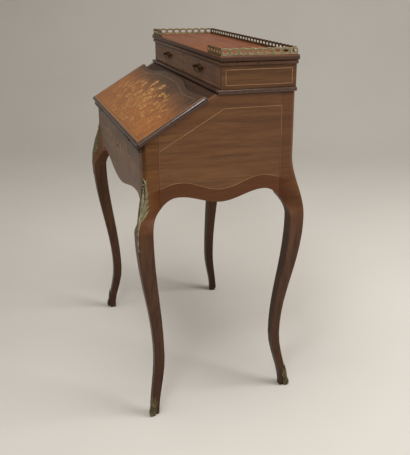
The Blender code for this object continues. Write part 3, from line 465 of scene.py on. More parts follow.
# Modelling helpers
def begin(primitive, **settings):
    """A new piece from a primitive, with nothing else selected."""
    bpy.ops.object.select_all(action="DESELECT")
    primitive(**settings)
    return bpy.context.object


def alone(piece):
    bpy.ops.object.select_all(action="DESELECT")
    piece.select_set(True)
    bpy.context.view_layer.objects.active = piece


def modify(piece, kind, **settings):
    alone(piece)
    modifier = piece.modifiers.new(kind.lower(), kind)
    for key, value in settings.items():
        setattr(modifier, key, value)
    bpy.ops.object.modifier_apply(modifier=modifier.name)


def edit(piece, *steps):
    """Run mesh operators on the whole of a piece."""
    alone(piece)
    bpy.ops.object.mode_set(mode="EDIT")
    bpy.ops.mesh.select_all(action="SELECT")
    for step in steps:
        step()
    bpy.ops.object.mode_set(mode="OBJECT")


def settle(piece, name, finish, body, slot, smooth=ROUND_ANGLE):
    """Name a piece, bake its place into its mesh, and let it ride on its body."""
    alone(piece)
    bpy.ops.object.transform_apply(location=True, rotation=True, scale=True)
    if smooth:
        bpy.ops.object.shade_smooth_by_angle(angle=math.radians(smooth))
    piece.name = name
    piece.data.name = name
    piece.data.materials.clear()
    piece.data.materials.append(FINISHES[finish])
    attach(piece, body)
    return piece


def join(pieces):
    alone(pieces[0])
    for piece in pieces:
        piece.select_set(True)
    if len(pieces) > 1:
        bpy.ops.object.join()
    return pieces[0]


def copy_of_node(node):
    """A loose copy of a CAD piece with its corners merged."""
    source = frame["nodes"][node]
    piece = source.copy()
    piece.data = source.data.copy()
    piece.parent = None
    for key in list(piece.keys()):
        del piece[key]
    bpy.context.scene.collection.objects.link(piece)
    edit(piece, lambda: bpy.ops.mesh.remove_doubles(threshold=0.00001))
    return piece


def eased_copy(node):
    """A copy of a CAD piece with its flat faces whole, its edges eased and its round faces smooth."""
    piece = copy_of_node(node)
    if node.startswith("leg"):
        edit(piece,
             lambda: bpy.ops.mesh.tris_convert_to_quads(face_threshold=1.0, shape_threshold=1.0),
             lambda: bpy.ops.mesh.select_all(action="DESELECT"),
             lambda: bpy.ops.mesh.edges_select_sharp(sharpness=LEG_CREASE),
             lambda: bpy.ops.transform.edge_crease(value=1.0))
        modify(piece, "SUBSURF", levels=2, render_levels=2)
    else:
        edit(piece, lambda: bpy.ops.mesh.dissolve_limited(angle_limit=FLAT_ANGLE))
    if node.startswith("gallery"):
        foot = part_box(node)[0]
        edit(piece, lambda: bpy.ops.transform.resize(value=(1, 1, GALLERY_SHARE), center_override=foot))
    width = next((EASE[kind] for kind in EASE if node.startswith(kind)), EASE["default"])
    alone(piece)
    bpy.ops.object.shade_smooth_by_angle(angle=math.radians(SOFT_ANGLE))
    if width:
        modify(piece, "BEVEL", width=width, segments=2, limit_method="ANGLE", angle_limit=EASED_ANGLE,
               harden_normals=True)
    settle(piece, node + "_eased", NODE_FINISH[node], NODE_BODY[node], NODE_SLOT[node], smooth=None)
    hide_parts(node)


for node in NODE_FINISH:
    eased_copy(node)


# Thickness of a leaf and of one that is inlaid, and how far off a face the rays towards it start
LEAF_THICK = 0.0005
INLAY_THICK = 0.0003
RAY_START = 0.1


# Shapes that inlay and mounts are made of: they lie on the ground, face up, before they are laid on the desk
def through(points, fine=6):
    """A smooth line through points of across, up and half width."""
    ends = [points[0], *points, points[-1]]
    line = []
    for before, start, end, after in zip(ends, ends[1:], ends[2:], ends[3:]):
        for part in range(fine):
            t = part / fine
            line.append([0.5 * (2 * b + (c - a) * t + (2 * a - 5 * b + 4 * c - d) * t * t
                                + (3 * b - a - 3 * c + d) * t ** 3)
                         for a, b, c, d in zip(before, start, end, after)])
    return line + [points[-1]]


def straight(points, half, step=0.008):
    """A line with sharp corners, with points close enough together to follow a curved face."""
    line = []
    for start, end in zip(points, points[1:]):
        count = max(1, round(math.dist(start, end) / step))
        for part in range(count):
            share = part / count
            across = start[0] + (end[0] - start[0]) * share
            up = start[1] + (end[1] - start[1]) * share
            line.append((across, up, half))
    return line + [(*points[-1], half)]


def rectangle(low, high):
    return [low, (high[0], low[1]), high, (low[0], high[1]), low]


def strand(points, flat, fine):
    """A rounded strand along points of across, up and half width; flat is its height over its width."""
    curve = begin(bpy.ops.curve.primitive_nurbs_path_add).data
    curve.splines.clear()
    spline = curve.splines.new("POLY")
    spline.points.add(len(points) - 1)
    for point, (across, up, half) in zip(spline.points, points):
        point.co = (across, up, 0, 1)
        point.radius = half
    curve.bevel_depth = 1.0
    curve.bevel_resolution = fine
    curve.use_fill_caps = True
    bpy.ops.object.convert(target="MESH")
    piece = bpy.context.object
    edit(piece,
         lambda: bpy.ops.mesh.remove_doubles(threshold=0.000001),
         lambda: bpy.ops.transform.resize(value=(1, 1, flat)))
    return piece


def leaf(length, width, rise, curl=0.0, lobes=0, groove=0.4, broad=0.75):
    """A leaf with its foot at the origin and its tip up, hollowed along the midrib, its edge lobed."""
    piece = begin(bpy.ops.mesh.primitive_grid_add, x_subdivisions=6, y_subdivisions=16, size=1.0)
    for vertex in piece.data.vertices:
        share = vertex.co.y + 0.5
        out = 2 * vertex.co.x
        full = math.sin(math.pi * share ** broad)
        notch = 1 - 0.3 * abs(math.sin(lobes * math.pi * share)) * abs(out) if lobes else 1
        height = (1 - out ** 2) * (1 - groove * math.exp(-(out / 0.25) ** 2))
        vertex.co = (out * full * notch * width / 2 + curl * share ** 2, share * length,
                     rise * height * (0.3 + 0.7 * full))
    edit(piece, lambda: bpy.ops.mesh.remove_doubles(threshold=0.00002))
    modify(piece, "SOLIDIFY", thickness=LEAF_THICK, offset=-1.0)
    return piece


def bead(radius, rise):
    """A domed disc."""
    piece = begin(bpy.ops.mesh.primitive_uv_sphere_add, segments=10, ring_count=8, radius=radius)
    edit(piece, lambda: bpy.ops.transform.resize(value=(1, 1, rise / radius)))
    return piece


def put(shape, at, turn=0.0, size=1.0, flip=1):
    """A copy of a shape, turned, scaled and moved on the ground."""
    piece = shape.copy()
    piece.data = shape.data.copy()
    bpy.context.scene.collection.objects.link(piece)
    piece.data.transform(Matrix.Translation((at[0], at[1], 0)) @ Matrix.Rotation(math.radians(turn), 4, "Z")
                         @ Matrix.Diagonal((size * flip, size, size, 1)))
    if flip < 0:
        piece.data.flip_normals()
    return piece


class Face:
    """A face of the desk: ornament lying on the ground is laid on it and follows its curve."""

    def __init__(self, origin, across, up, *nodes):
        self.origin = Vector(origin)
        self.across = Vector(across).normalized()
        self.up = Vector(up).normalized()
        self.out = self.across.cross(self.up)
        points, faces = [], []
        for node in nodes:
            mesh = frame["nodes"][node].data
            faces += [[len(points) + corner for corner in face.vertices] for face in mesh.polygons]
            points += [vertex.co.copy() for vertex in mesh.vertices]
        self.tree = BVHTree.FromPolygons(points, faces)

    def lay(self, pieces, name, finish, body, slot, lift=0.0):
        piece = join(pieces)
        for vertex in piece.data.vertices:
            foot = self.origin + self.across * vertex.co.x + self.up * vertex.co.y
            hit = self.tree.ray_cast(foot + self.out * RAY_START, -self.out)[0]
            vertex.co = (hit or self.tree.find_nearest(foot)[0]) + self.out * (vertex.co.z + lift)
        return settle(piece, name, finish, body, slot)


# Half width of an inlaid line, its height over its width, and how far inlaid leaves stand over a face
LINE_HALF = 0.0006
LINE_FLAT = 0.18
INLAY_LIFT = 0.00012


def string_line(points, half=LINE_HALF):
    return strand(straight(points, half), LINE_FLAT, 1)


def inlaid_stem(points):
    return strand(through(points), LINE_FLAT, 1)


def mirrored(points, side):
    return [(side * point[0], *point[1:]) for point in points]


# Stringing: front and back upright of the sides' lines, their lower and upper corner, insets of the others
SIDE_LINE_FRONT, SIDE_LINE_BACK = -0.150, 0.152
SIDE_LINE_CORNER = 0.697
SIDE_LINE_PEAK = (0.007, 0.787)
WAVE_MILLIMETRES = range(-150, 153, 2)
CASE_LINE_INSET = (0.011, 0.009)
DRAWER_LINE_INSET = (0.007, 0.006)
STILE_LINE_SHARE = 0.22
STILE_LINE_INSET = 0.004


def build_side_stringing():
    outline = [(SIDE_LINE_FRONT, wave_height(SIDE_LINE_FRONT)), (SIDE_LINE_FRONT, SIDE_LINE_CORNER),
               SIDE_LINE_PEAK, (SIDE_LINE_BACK, SIDE_LINE_PEAK[1]),
               (SIDE_LINE_BACK, wave_height(SIDE_LINE_BACK))]
    wave = [(step / 1000, wave_height(step / 1000)) for step in WAVE_MILLIMETRES]
    for side_name, side in SIDES:
        nodes = ["side_panel_" + side_name, "leg_front_" + side_name, "leg_back_" + side_name]
        face = Face((side * HALF_WIDTH, 0, 0), (0, side, 0), UP, *nodes)
        lines = [string_line(mirrored(path, side)) for path in (outline, wave)]
        face.lay(lines, "side_stringing_" + side_name, "line", "desk", "side_veneer")

        face = Face((side * HALF_WIDTH, 0, 0), (0, side, 0), UP, "case_side_" + side_name)
        low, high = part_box("case_side_" + side_name)
        across, up = CASE_LINE_INSET
        corners = rectangle((low.y + across, low.z + up), (high.y - across, high.z - up))
        lines = [string_line(mirrored(corners, side))]
        face.lay(lines, "case_side_stringing_" + side_name, "line", "desk", "side_veneer")


def build_front_stringing():
    for side_name, _ in SIDES:
        node = "drawer_front_" + side_name
        low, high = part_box(node)
        face = Face((0, low.y, 0), ACROSS, UP, node)
        across, up = DRAWER_LINE_INSET
        corners = rectangle((low.x + across, low.z + up), (high.x - across, high.z - up))
        face.lay([string_line(corners)], "drawer_stringing_" + side_name, "line",
                 "drawer_" + side_name, "side_veneer")

        node = "case_stile_" + side_name
        low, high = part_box(node)
        face = Face((0, low.y, 0), ACROSS, UP, node)
        reach = (high.x - low.x) * STILE_LINE_SHARE
        foot, head = low.z + STILE_LINE_INSET, high.z - STILE_LINE_INSET
        middles = [(low.x + high.x) / 2 + shift for shift in (-reach, reach)]
        lines = [string_line([(middle, foot), (middle, head)]) for middle in middles]
        face.lay(lines, "stile_stringing_" + side_name, "line", "desk", "side_veneer")


# The fall: its length at the hollows of its upper edge; start, width and rise of the crown and the ears
FALL_LENGTH = 0.1844
FALL_CROWN = (0.060, 0.145, 0.020)
FALL_EAR = (0.205, 0.096, 0.006)


def fall_edge(x):
    """The shaped upper edge of the fall, as far up from the hinges."""
    crown, ear = [min(max((abs(x) - start) / width, 0.0), 1.0) for start, width, _ in (FALL_CROWN, FALL_EAR)]
    return (FALL_LENGTH + FALL_CROWN[2] * (1 + math.cos(math.pi * crown)) / 2
            + FALL_EAR[2] * (1 - math.cos(math.pi * ear)) / 2)


# The fall's marquetry, across and up from the middle of the hinges: place, size and petals of a flower,
# place, turn and size of a leaf, points and half widths of a line
FLOWERS = (
    ((0.0, 0.122), 0.040, 8), ((0.052, 0.104), 0.031, 7), ((0.036, 0.156), 0.026, 6),
    ((0.094, 0.136), 0.023, 6), ((0.092, 0.080), 0.023, 6), ((0.130, 0.108), 0.018, 5),
)
BOUQUET_TIE = (0.0, 0.046)
SCROLLS = (
    ((0.014, 0.036, 0.0004), (0.060, 0.030, 0.0007), (0.112, 0.042, 0.0009), (0.146, 0.068, 0.0010),
     (0.158, 0.100, 0.0009), (0.148, 0.126, 0.0008), (0.128, 0.136, 0.0007)),
    ((0.150, 0.078, 0.0004), (0.178, 0.100, 0.0008), (0.206, 0.102, 0.0009), (0.226, 0.086, 0.0008),
     (0.222, 0.066, 0.0007), (0.206, 0.062, 0.0007), (0.202, 0.075, 0.0008)),
)
SCROLL_LEAVES = (
    (0.080, 0.033, -150, 0.9), (0.098, 0.038, 150, 0.8), (0.116, 0.045, -128, 1.1),
    (0.132, 0.056, 20, 0.9), (0.142, 0.064, -96, 1.1), (0.152, 0.082, -52, 1.0),
    (0.157, 0.100, 30, 1.0), (0.152, 0.118, -20, 1.1), (0.142, 0.130, 40, 1.0),
    (0.128, 0.136, 75, 0.9), (0.188, 0.102, 10, 1.0), (0.200, 0.103, -150, 0.8),
    (0.214, 0.098, -30, 1.0), (0.226, 0.084, -75, 1.0), (0.174, 0.098, 50, 0.9),
    (0.060, 0.030, 160, 0.8), (0.040, 0.032, -170, 0.8), (0.222, 0.066, -130, 0.8),
)
BOW = (
    (0.0, 0.047, 0.0010), (0.016, 0.058, 0.0014), (0.030, 0.055, 0.0015), (0.028, 0.045, 0.0013),
    (0.012, 0.043, 0.0010), (0.0, 0.047, 0.0010), (0.010, 0.034, 0.0012), (0.024, 0.026, 0.0015),
)
STEM_FRONDS = ((0.45, 40), (0.62, -45), (0.80, 50))
PETAL_SHARE, INNER_SHARE, HUB_SHARE = 0.5, 0.30, 0.10
INNER_LIFT = 0.0001
FALL_LINE_INSET = 0.016
FALL_LINE_REACH = 0.285
FALL_LINE_FOOT = 0.0143 + FALL_LINE_INSET
FALL_LINE_HALF = 0.0005


def build_fall_marquetry():
    face = Face((0, HINGE.y, HINGE.z), ACROSS, UP_SLOPE, "fall_panel")
    petal = leaf(1.0, 0.62, 0.0, broad=1.5)
    frond = leaf(0.024, 0.0085, 0.0, curl=0.004)
    heart = bead(1.0, 0.05)
    flat = Matrix.Diagonal((1, 1, INLAY_THICK / LEAF_THICK, 1))
    petals, fronds, shades, lines = [], [], [], []
    for (across, up), size, count in FLOWERS:
        for side in ((1, -1) if across else (1,)):
            at = (side * across, up)
            for step in range(count):
                turn = 360 * (step + 0.5 * (count % 2)) / count
                petals.append(put(petal, at, turn, size * PETAL_SHARE))
                inner = put(petal, at, turn + 180 / count, size * INNER_SHARE)
                inner.data.transform(Matrix.Translation((0, 0, INNER_LIFT)))
                shades.append(inner)
            petals.append(put(heart, at, 0, size * HUB_SHARE))
            tall = up - BOUQUET_TIE[1]
            bend = (side * across * 0.35, BOUQUET_TIE[1] + tall * 0.55, 0.0006)
            lines.append(inlaid_stem([(*BOUQUET_TIE, 0.0005), bend, (*at, 0.0005)]))
            for share, turn in STEM_FRONDS:
                place = (bend[0] * 2 * share * (1 - share) + at[0] * share ** 2 * 1.1,
                         BOUQUET_TIE[1] + tall * share)
                fronds.append(put(frond, place, turn, 0.55 + 12 * size, 1 if turn > 0 else -1))
    for side in (1, -1):
        lines += [inlaid_stem(mirrored(points, side)) for points in (*SCROLLS, BOW)]
        for across, up, turn, size in SCROLL_LEAVES:
            fronds.append(put(frond, (side * across, up), side * turn, size, side))
    for piece in petals + fronds + shades:
        piece.data.transform(flat)
    left, right = (-FALL_LINE_REACH, FALL_LINE_FOOT), (FALL_LINE_REACH, FALL_LINE_FOOT)
    shaped = [(step / 100, fall_edge(step / 100) - FALL_LINE_INSET) for step in range(-28, 29)]
    edging = [string_line([left, *shaped, right, left], FALL_LINE_HALF)]
    face.lay(petals, "fall_marquetry_petals", "petal", "fall", "fall_veneer", INLAY_LIFT)
    face.lay(fronds, "fall_marquetry_leaves", "foliage", "fall", "fall_veneer", INLAY_LIFT)
    face.lay(shades, "fall_marquetry_hearts", "shade", "fall", "fall_veneer", INLAY_LIFT)
    face.lay(lines, "fall_marquetry_scrolls", "foliage", "fall", "fall_veneer")
    face.lay(edging, "fall_stringing", "fall_line", "fall", "fall_veneer")
    discard(petal, frond, heart)


APRON_STEM = (
    (0.0, 0.612, 0.0006), (0.030, 0.640, 0.0007), (0.075, 0.640, 0.0007), (0.118, 0.660, 0.0006),
    (0.150, 0.650, 0.0005),
)
APRON_LEAVES = (
    (0.012, 0.628, 30, 1.0), (0.030, 0.640, -110, 0.9), (0.045, 0.643, 20, 0.9),
    (0.062, 0.640, -140, 0.9), (0.085, 0.643, 10, 0.9), (0.100, 0.652, -120, 0.8),
    (0.120, 0.660, 20, 0.8), (0.136, 0.657, -130, 0.7), (0.150, 0.650, -70, 0.7),
)
APRON_FLOWER = (0, 0.645)


def build_apron_marquetry():
    face = Face((0, FRONT_FACE, 0), ACROSS, UP, "front_apron")
    frond = leaf(0.022, 0.008, 0.0, curl=0.004)
    fronds, lines = [], []
    for side in (1, -1):
        lines.append(inlaid_stem(mirrored(APRON_STEM, side)))
        for across, up, turn, size in APRON_LEAVES:
            fronds.append(put(frond, (side * across, up), side * turn, size, side))
    for turn in range(0, 360, 60):
        fronds.append(put(frond, APRON_FLOWER, turn, 0.75))
    face.lay(fronds, "apron_marquetry_leaves", "apron_inlay", "desk", "side_veneer", INLAY_LIFT)
    face.lay(lines, "apron_marquetry_stems", "apron_inlay", "desk", "side_veneer")
    discard(frond)


def discard(*shapes):
    for shape in shapes:
        bpy.data.objects.remove(shape)


def stand(pieces, origin, across, up):
    """Join pieces that lie on the ground and stand them at a place on the desk."""
    piece = join(pieces)
    out = across.cross(up)
    for vertex in piece.data.vertices:
        vertex.co = origin + across * vertex.co.x + up * vertex.co.y + out * vertex.co.z
    return piece


# The nosing of the fall: half the border's width, its height, and radii at places up the slope
LIP_OUT = 0.3150
LIP_HEIGHT = 0.0123
NOSING_PROUD = 0.0014
NOSING_FOOT = 0.0045
NOSING_TOP = fall_edge(0.301)
NOSING_RADII = (
    (NOSING_FOOT, 0.0046), (0.030, 0.0052), (0.090, 0.0060), (0.150, 0.0067),
    (NOSING_TOP - 0.007, 0.0068), (NOSING_TOP - 0.002, 0.0060), (NOSING_TOP + 0.0015, 0.0036),
)
NOSING_FRONT_RADIUS = 0.0042
NOSING_FRONT_INSET = 0.0040
NOSING_FLAT = 0.92


def build_fall_nosing():
    """A polished round nosing along the border of the fall, fuller towards its upper end."""
    side_path = through([(LIP_OUT + NOSING_PROUD - radius, up, radius) for up, radius in NOSING_RADII], 5)
    end = LIP_OUT - NOSING_FRONT_INSET
    front = straight([(-end, NOSING_FOOT), (end, NOSING_FOOT)], NOSING_FRONT_RADIUS, 0.03)
    paths = (side_path, mirrored(side_path, -1), front)
    pieces = [strand(path, NOSING_FLAT, 5) for path in paths]
    piece = stand(pieces, HINGE + OFF_SLOPE * LIP_HEIGHT / 2, ACROSS, UP_SLOPE)
    settle(piece, "fall_nosing", "moulding_slope", "fall", "dark_veneer")


def oval(middle, half, start, thick):
    """Points round an oval, with its middle and half sizes across and up."""
    turns = [math.radians(turn) for turn in range(start, start + 361, 30)]
    return [(middle[0] + half[0] * math.cos(turn), middle[1] + half[1] * math.sin(turn), thick)
            for turn in turns]


# Half thicknesses of the gallery's rims, drop of rim and pearls below its edge, height of the foot's rim
OPENING_RIM, SCALLOP_RIM, FOOT_RIM = 0.0010, 0.0012, 0.0013
SCALLOP_DROP, PEARL_DROP = 0.0010, 0.0012
FOOT_RIM_HEIGHT = 0.0012
RIM_FLAT = 0.9
SCALLOP_STEPS = 8


def build_gallery_rims():
    """Round rims along the scalloped top, the foot and the openings of the gallery, pearls between scallops."""
    pearl = bead(0.0019, 0.0016)
    half, middle, rise = GALLERY_OPENING
    for node in NODE_FINISH:
        if not node.startswith("gallery"):
            continue
        low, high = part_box(node)
        across = ACROSS if high.x - low.x > high.y - low.y else BACKWARD
        length = (high - low).dot(across)
        count = round(length / GALLERY_PITCH)
        pitch = length / count
        rim = strand(through(oval((0, middle), (half, rise), 0, OPENING_RIM), 3), RIM_FLAT, 2)
        scallops = []
        for step in range(SCALLOP_STEPS * count + 1):
            hump = GALLERY_HUMP * abs(math.sin(math.pi * step / SCALLOP_STEPS))
            scallops.append((pitch * step / SCALLOP_STEPS, GALLERY_TALL - SCALLOP_DROP + hump, SCALLOP_RIM))
        foot = straight([(0, FOOT_RIM_HEIGHT), (length, FOOT_RIM_HEIGHT)], FOOT_RIM, 0.05)
        pieces = [put(rim, (pitch * (bay + 0.5), 0)) for bay in range(count)]
        pieces += [put(pearl, (pitch * bay, GALLERY_TALL - PEARL_DROP)) for bay in range(1, count)]
        pieces += [strand(path, RIM_FLAT, 2) for path in (scallops, foot)]
        thick = (high - low).dot(across.cross(UP))
        piece = stand(pieces, low + across.cross(UP) * thick / 2, across, UP)
        settle(piece, node + "_rims", NODE_FINISH[node], "desk", NODE_SLOT[node])
        discard(rim)
    discard(pearl)


# Inset and half width of each gilt line on the leathers
TOOLING = ((0.006, 0.0008), (0.0095, 0.0004), (0.016, 0.0004))


def build_leather_tooling():
    """Gilt lines tooled round the leather of the bed and of the fall."""
    faces = (("bed_leather", "desk", ACROSS, BACKWARD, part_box("bed_leather")[1]),
             ("fall_leather", "fall", -ACROSS, UP_SLOPE, HINGE))
    for node, body, across, up, origin in faces:
        corners = [vertex.co - origin for vertex in frame["nodes"][node].data.vertices]
        low = [min(corner.dot(axis) for corner in corners) for axis in (across, up)]
        high = [max(corner.dot(axis) for corner in corners) for axis in (across, up)]
        face = Face(origin, across, up, node)
        lines = []
        for inset, half in TOOLING:
            path = rectangle((low[0] + inset, low[1] + inset), (high[0] - inset, high[1] - inset))
            lines.append(string_line(path, half))
        face.lay(lines, node + "_tooling", "gilt", body, "leather")


# Knee mounts, across the arris and up from the floor: stems, leaves, the middle leaf's foot, a row of seeds
CHUTE_STEMS = (
    ((0.0, 0.470, 0.0010), (0.0, 0.490, 0.0018), (0.0002, 0.512, 0.0022), (0.0014, 0.535, 0.0022),
     (0.0042, 0.558, 0.0021), (0.0068, 0.580, 0.0020), (0.0072, 0.600, 0.0019), (0.0058, 0.617, 0.0018),
     (0.0036, 0.6290, 0.0017), (0.0002, 0.6340, 0.0016), (-0.0026, 0.6300, 0.0015), (-0.0018, 0.6245, 0.0015),
     (0.0010, 0.6235, 0.0015), (0.0014, 0.6275, 0.0022)),
    ((0.0, 0.520, 0.0016), (-0.0030, 0.542, 0.0020), (-0.0064, 0.565, 0.0021), (-0.0076, 0.587, 0.0020),
     (-0.0060, 0.605, 0.0018), (-0.0022, 0.6165, 0.0016), (0.0018, 0.6150, 0.0014)),
)
CHUTE_LEAVES = (
    (0.0028, 0.540, -15, 1.40), (0.0046, 0.556, -14, 1.15), (0.0064, 0.574, -12, 0.85),
    (0.0074, 0.594, -8, 0.60), (-0.0028, 0.540, 15, 1.40), (-0.0050, 0.556, 14, 1.15),
    (-0.0068, 0.572, 12, 0.85), (-0.0076, 0.590, 8, 0.60),
    (0.0008, 0.631, 12, 0.45), (0.0034, 0.629, -24, 0.45),
    (0.0, 0.478, 166, 0.45), (0.0, 0.478, 194, 0.45),
)
TONGUE_FOOT = (0, 0.527)
SEED_COUNT, SEED_FOOT, SEED_PITCH = 5, 0.484, 0.0045
CHUTE_LIFT = 0.0009


def build_chutes():
    finger = leaf(0.022, 0.0034, 0.0026, curl=0.002, groove=0.7)
    tongue = leaf(0.096, 0.0150, 0.0046, lobes=8, groove=0.75, broad=0.9)
    seed = bead(0.0016, 0.0018)
    for side_name, side in SIDES:
        out = Vector((side, -1, 0)).normalized()
        face = Face((side * HALF_WIDTH, FRONT_FACE, 0), UP.cross(out), UP, "leg_front_" + side_name)
        parts = [strand(through(mirrored(points, side)), 0.9, 3) for points in CHUTE_STEMS]
        for across, up, turn, size in CHUTE_LEAVES:
            parts.append(put(finger, (side * across, up), side * turn, size, side if turn <= 0 else -side))
        parts.append(put(tongue, TONGUE_FOOT))
        for step in range(SEED_COUNT):
            parts.append(put(seed, (0, SEED_FOOT + SEED_PITCH * step), 0, 0.8 + 0.08 * step))
        piece = face.lay(parts, "knee_mount_" + side_name, "mount_brass", "desk", "brass", CHUTE_LIFT)
        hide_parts("chute_" + side_name)
    discard(finger, tongue, seed)


# Shoes: height of the wooden foot, reach of the shell in from the toe and up the arris, lean of the faces,
# leaves up the arris; on each face an oval boss with leaves over it
SHOE_FLOOR = 0.0062
SHOE_REACH = 0.0128
SHOE_HEIGHT, SHOE_STEEPNESS = 0.075, 2.6
SHOE_EASE = 0.0005
SHOE_LEAN = 0.15
SHOE_LEAVES = (
    (0.0, 0.024, 0, 0.66), (0.0036, 0.024, -5, 0.50), (-0.0036, 0.024, 5, 0.50),
    (0.0066, 0.022, -8, 0.32), (-0.0066, 0.022, 8, 0.32),
)
SHOE_LIFT = 0.0002
SHOE = ("shoe_brass", "desk", "brass")
BOSS_PLACE, BOSS_HALF, BOSS_RIM = (0.0080, 0.0150), (0.0052, 0.0112), 0.0012
BOSS_LEAVES = ((0.0050, 0.025, 0), (0.0084, 0.0275, 14), (0.0115, 0.024, 32))
BOSS_LEAF_SIZE = 0.22
KERNEL_FOOT, KERNEL_TURN = 0.006, 8
SOLE_SLACK = 0.0005


def cut(piece, place, normal):
    """Keep what lies behind a plane, and close the cut."""
    edit(piece, lambda: bpy.ops.mesh.bisect(plane_co=place, plane_no=normal, use_fill=True, clear_outer=True))


def spread_of(corners):
    """The middle and the width of a square foot."""
    low = Vector([min(corner[axis] for corner in corners) for axis in (X, Y, Z)])
    high = Vector([max(corner[axis] for corner in corners) for axis in (X, Y, Z)])
    return (low + high) / 2, (high - low).x


def build_shoes():
    """Cast shoes round the outer corner of each foot: an oval boss on both faces and leaves up the arris."""
    acanthus = leaf(0.064, 0.0100, 0.0030, lobes=5, groove=0.75)
    kernel = leaf(0.0180, 0.0064, 0.0024, groove=0.5, broad=1.0)
    for side_name, side in SIDES:
        for end_name, end in ENDS:
            place = end_name + "_" + side_name
            node = "sabot_" + place
            out = Vector((side, end, 0)).normalized()
            low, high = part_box(node)
            toe = Vector((high.x if side > 0 else low.x, high.y if end > 0 else low.y, 0))

            block = copy_of_node(node)
            cut(block, (0, 0, SHOE_FLOOR), UP)
            sole = [vertex.co for vertex in frame["nodes"]["leg_" + place].data.vertices]
            lowest = min(corner.z for corner in sole) + SOLE_SLACK
            sole_middle, sole_width = spread_of([corner for corner in sole if corner.z < lowest])
            middle, width = spread_of([vertex.co for vertex in block.data.vertices])
            small = sole_width / width
            shift = sole_middle - middle
            edit(block,
                 lambda: bpy.ops.transform.resize(value=(small, small, 1), center_override=middle),
                 lambda: bpy.ops.transform.translate(value=(shift.x, shift.y, 0)))
            settle(block, "foot_" + place, "leg", "desk", "leg_wood", SOFT_ANGLE)

            shell = copy_of_node(node)
            cut(shell, toe - out * SHOE_REACH, -out)
            cut(shell, toe + UP * SHOE_HEIGHT, UP - out * SHOE_STEEPNESS)
            modify(shell, "BEVEL", width=SHOE_EASE, segments=2, limit_method="ANGLE", angle_limit=EASED_ANGLE)
            settle(shell, "shoe_" + place, *SHOE, SOFT_ANGLE)
            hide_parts(node)

            corner = Face((toe.x, toe.y, 0), UP.cross(out), UP, node, "leg_" + place)
            parts = [put(acanthus, (across, up), turn, size) for across, up, turn, size in SHOE_LEAVES]
            corner.lay(parts, "shoe_leaves_" + place, *SHOE, SHOE_LIFT)
            for facing, inward in ((Vector((side, 0, 0)), -side * end), (Vector((0, end, 0)), side * end)):
                face = Face((toe.x, toe.y, 0), UP.cross(facing), UP, node)
                rim = [(inward * (reach + SHOE_LEAN * rise), rise, half)
                       for reach, rise, half in oval(BOSS_PLACE, BOSS_HALF, -90, BOSS_RIM)]
                foot = (inward * (BOSS_PLACE[0] + SHOE_LEAN * KERNEL_FOOT), KERNEL_FOOT)
                parts = [strand(through(rim, 3), 0.8, 3), put(kernel, foot, -inward * KERNEL_TURN)]
                for reach, rise, turn in BOSS_LEAVES:
                    foot = (inward * (reach + SHOE_LEAN * rise), rise)
                    parts.append(put(acanthus, foot, -inward * turn, BOSS_LEAF_SIZE))
                name = "shoe_side_boss_" if facing.x else "shoe_end_boss_"
                face.lay(parts, name + place, *SHOE, SHOE_LIFT)
    discard(acanthus, kernel)


POST_REACH = 0.022
BAIL_HALF = 0.0013


def build_pull_rosettes():
    """A rosette of eight petals round each post of the pulls."""
    petal = leaf(0.0050, 0.0026, 0.0009)
    for side_name, _ in SIDES:
        low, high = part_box("pull_plate_" + side_name)
        nodes = ("pull_plate_" + side_name, "drawer_front_" + side_name)
        face = Face((0, low.y, 0), ACROSS, UP, *nodes)
        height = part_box("bail_" + side_name)[1].z - BAIL_HALF
        parts = [put(petal, ((low.x + high.x) / 2 + reach, height), turn)
                 for reach in (-POST_REACH, POST_REACH) for turn in range(0, 360, 45)]
        face.lay(parts, "pull_rosettes_" + side_name, "pull_brass", "drawer_" + side_name, "dark_brass")
    discard(petal)


build_side_stringing()
build_front_stringing()
build_fall_marquetry()
build_fall_nosing()
build_apron_marquetry()
build_leather_tooling()
build_gallery_rims()
build_chutes()
build_shoes()
build_pull_rosettes()


# Stage, in metres and degrees; of each lamp: name, place, aim, size, power and colour
FLOOR_SIZE = 16.0
FLOOR_PLACE, FLOOR_TURN = (4.6, 0, 0), -22
BACKDROP_HEIGHT, BACKDROP_SWEEP = 6.0, 1.6
SKY_TONE, SKY_STRENGTH = "#d9d2c8", 0.40
LAMPS = (
    ("window", (1.5, 2.5, 2.1), (0, 0, 0.6), (1.8, 1.8), 80, (1.0, 0.98, 0.95)),
    ("ceiling", (0.4, -0.2, 2.9), (0, 0, 0.5), (2.0, 1.2), 34, (1.0, 0.97, 0.93)),
    ("skylight", (1.25, -0.66, 2.45), (0.31, -0.08, 0.78), (0.5, 0.5), 12, (0.95, 0.98, 1.0)),
)


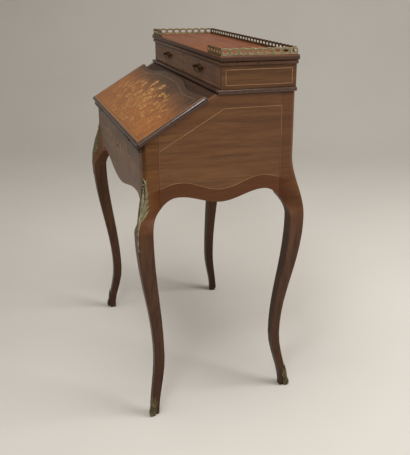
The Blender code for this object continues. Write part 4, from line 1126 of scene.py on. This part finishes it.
def build_stage():
    """A pale floor that runs up into a backdrop behind the desk."""
    floor = begin(bpy.ops.mesh.primitive_plane_add, size=FLOOR_SIZE)
    floor.name = "floor"
    bpy.ops.object.mode_set(mode="EDIT")
    bpy.ops.mesh.select_mode(type="EDGE")
    bpy.ops.mesh.select_all(action="DESELECT")
    bpy.ops.object.mode_set(mode="OBJECT")
    for edge in floor.data.edges:
        ends = [floor.data.vertices[corner].co for corner in edge.vertices]
        edge.select = all(end.x < 0 for end in ends) or all(end.y > 0 for end in ends)
    bpy.ops.object.mode_set(mode="EDIT")
    bpy.ops.mesh.extrude_region_move(TRANSFORM_OT_translate={"value": (0, 0, BACKDROP_HEIGHT)})
    bpy.ops.mesh.select_mode(type="VERT")
    bpy.ops.object.mode_set(mode="OBJECT")
    floor.location = FLOOR_PLACE
    floor.rotation_euler = (0, 0, math.radians(FLOOR_TURN))
    alone(floor)
    bpy.ops.object.transform_apply(location=True, rotation=True, scale=True)
    modify(floor, "BEVEL", width=BACKDROP_SWEEP, segments=16, limit_method="ANGLE")
    bpy.ops.object.shade_smooth()
    finish = Finish("pale_floor", {"Specular IOR Level": 0.2})
    cloud = finish.noise(finish.place, 0.5, 3.0)
    floor.data.materials.append(finish.use(finish.mix(cloud, "#d0ccc6", "#d8d4ce"), 0.7))


def soft_lamp(name, place, aim, size, power, colour):
    data = bpy.data.lights.new(name, "AREA")
    data.shape = "RECTANGLE"
    data.size, data.size_y = size
    data.energy = power
    data.color = colour
    lamp = bpy.data.objects.new(name, data)
    lamp.location = place
    lamp.rotation_euler = (Vector(aim) - Vector(place)).to_track_quat("-Z", "Y").to_euler()
    bpy.context.scene.collection.objects.link(lamp)


def build_light():
    scene = bpy.context.scene
    scene.view_settings.view_transform = "Standard"
    world = bpy.data.worlds.new("studio")
    scene.world = world
    world.use_nodes = True
    background = world.node_tree.nodes["Background"]
    background.inputs["Color"].default_value = tone(SKY_TONE)
    background.inputs["Strength"].default_value = SKY_STRENGTH
    for lamp in LAMPS:
        soft_lamp(*lamp)


def build_camera():
    data = bpy.data.cameras.new("camera")
    data.sensor_width = CAMERA_SENSOR
    data.lens = CAMERA_LENS
    data.shift_x, data.shift_y = CAMERA_SHIFT
    data.clip_start = CAMERA_NEAR
    camera = bpy.data.objects.new("camera", data)
    camera.location = CAMERA_PLACE
    camera.rotation_euler = [math.radians(turn) for turn in CAMERA_TURN]
    bpy.context.scene.collection.objects.link(camera)
    bpy.context.scene.camera = camera


build_stage()
build_light()
build_camera()
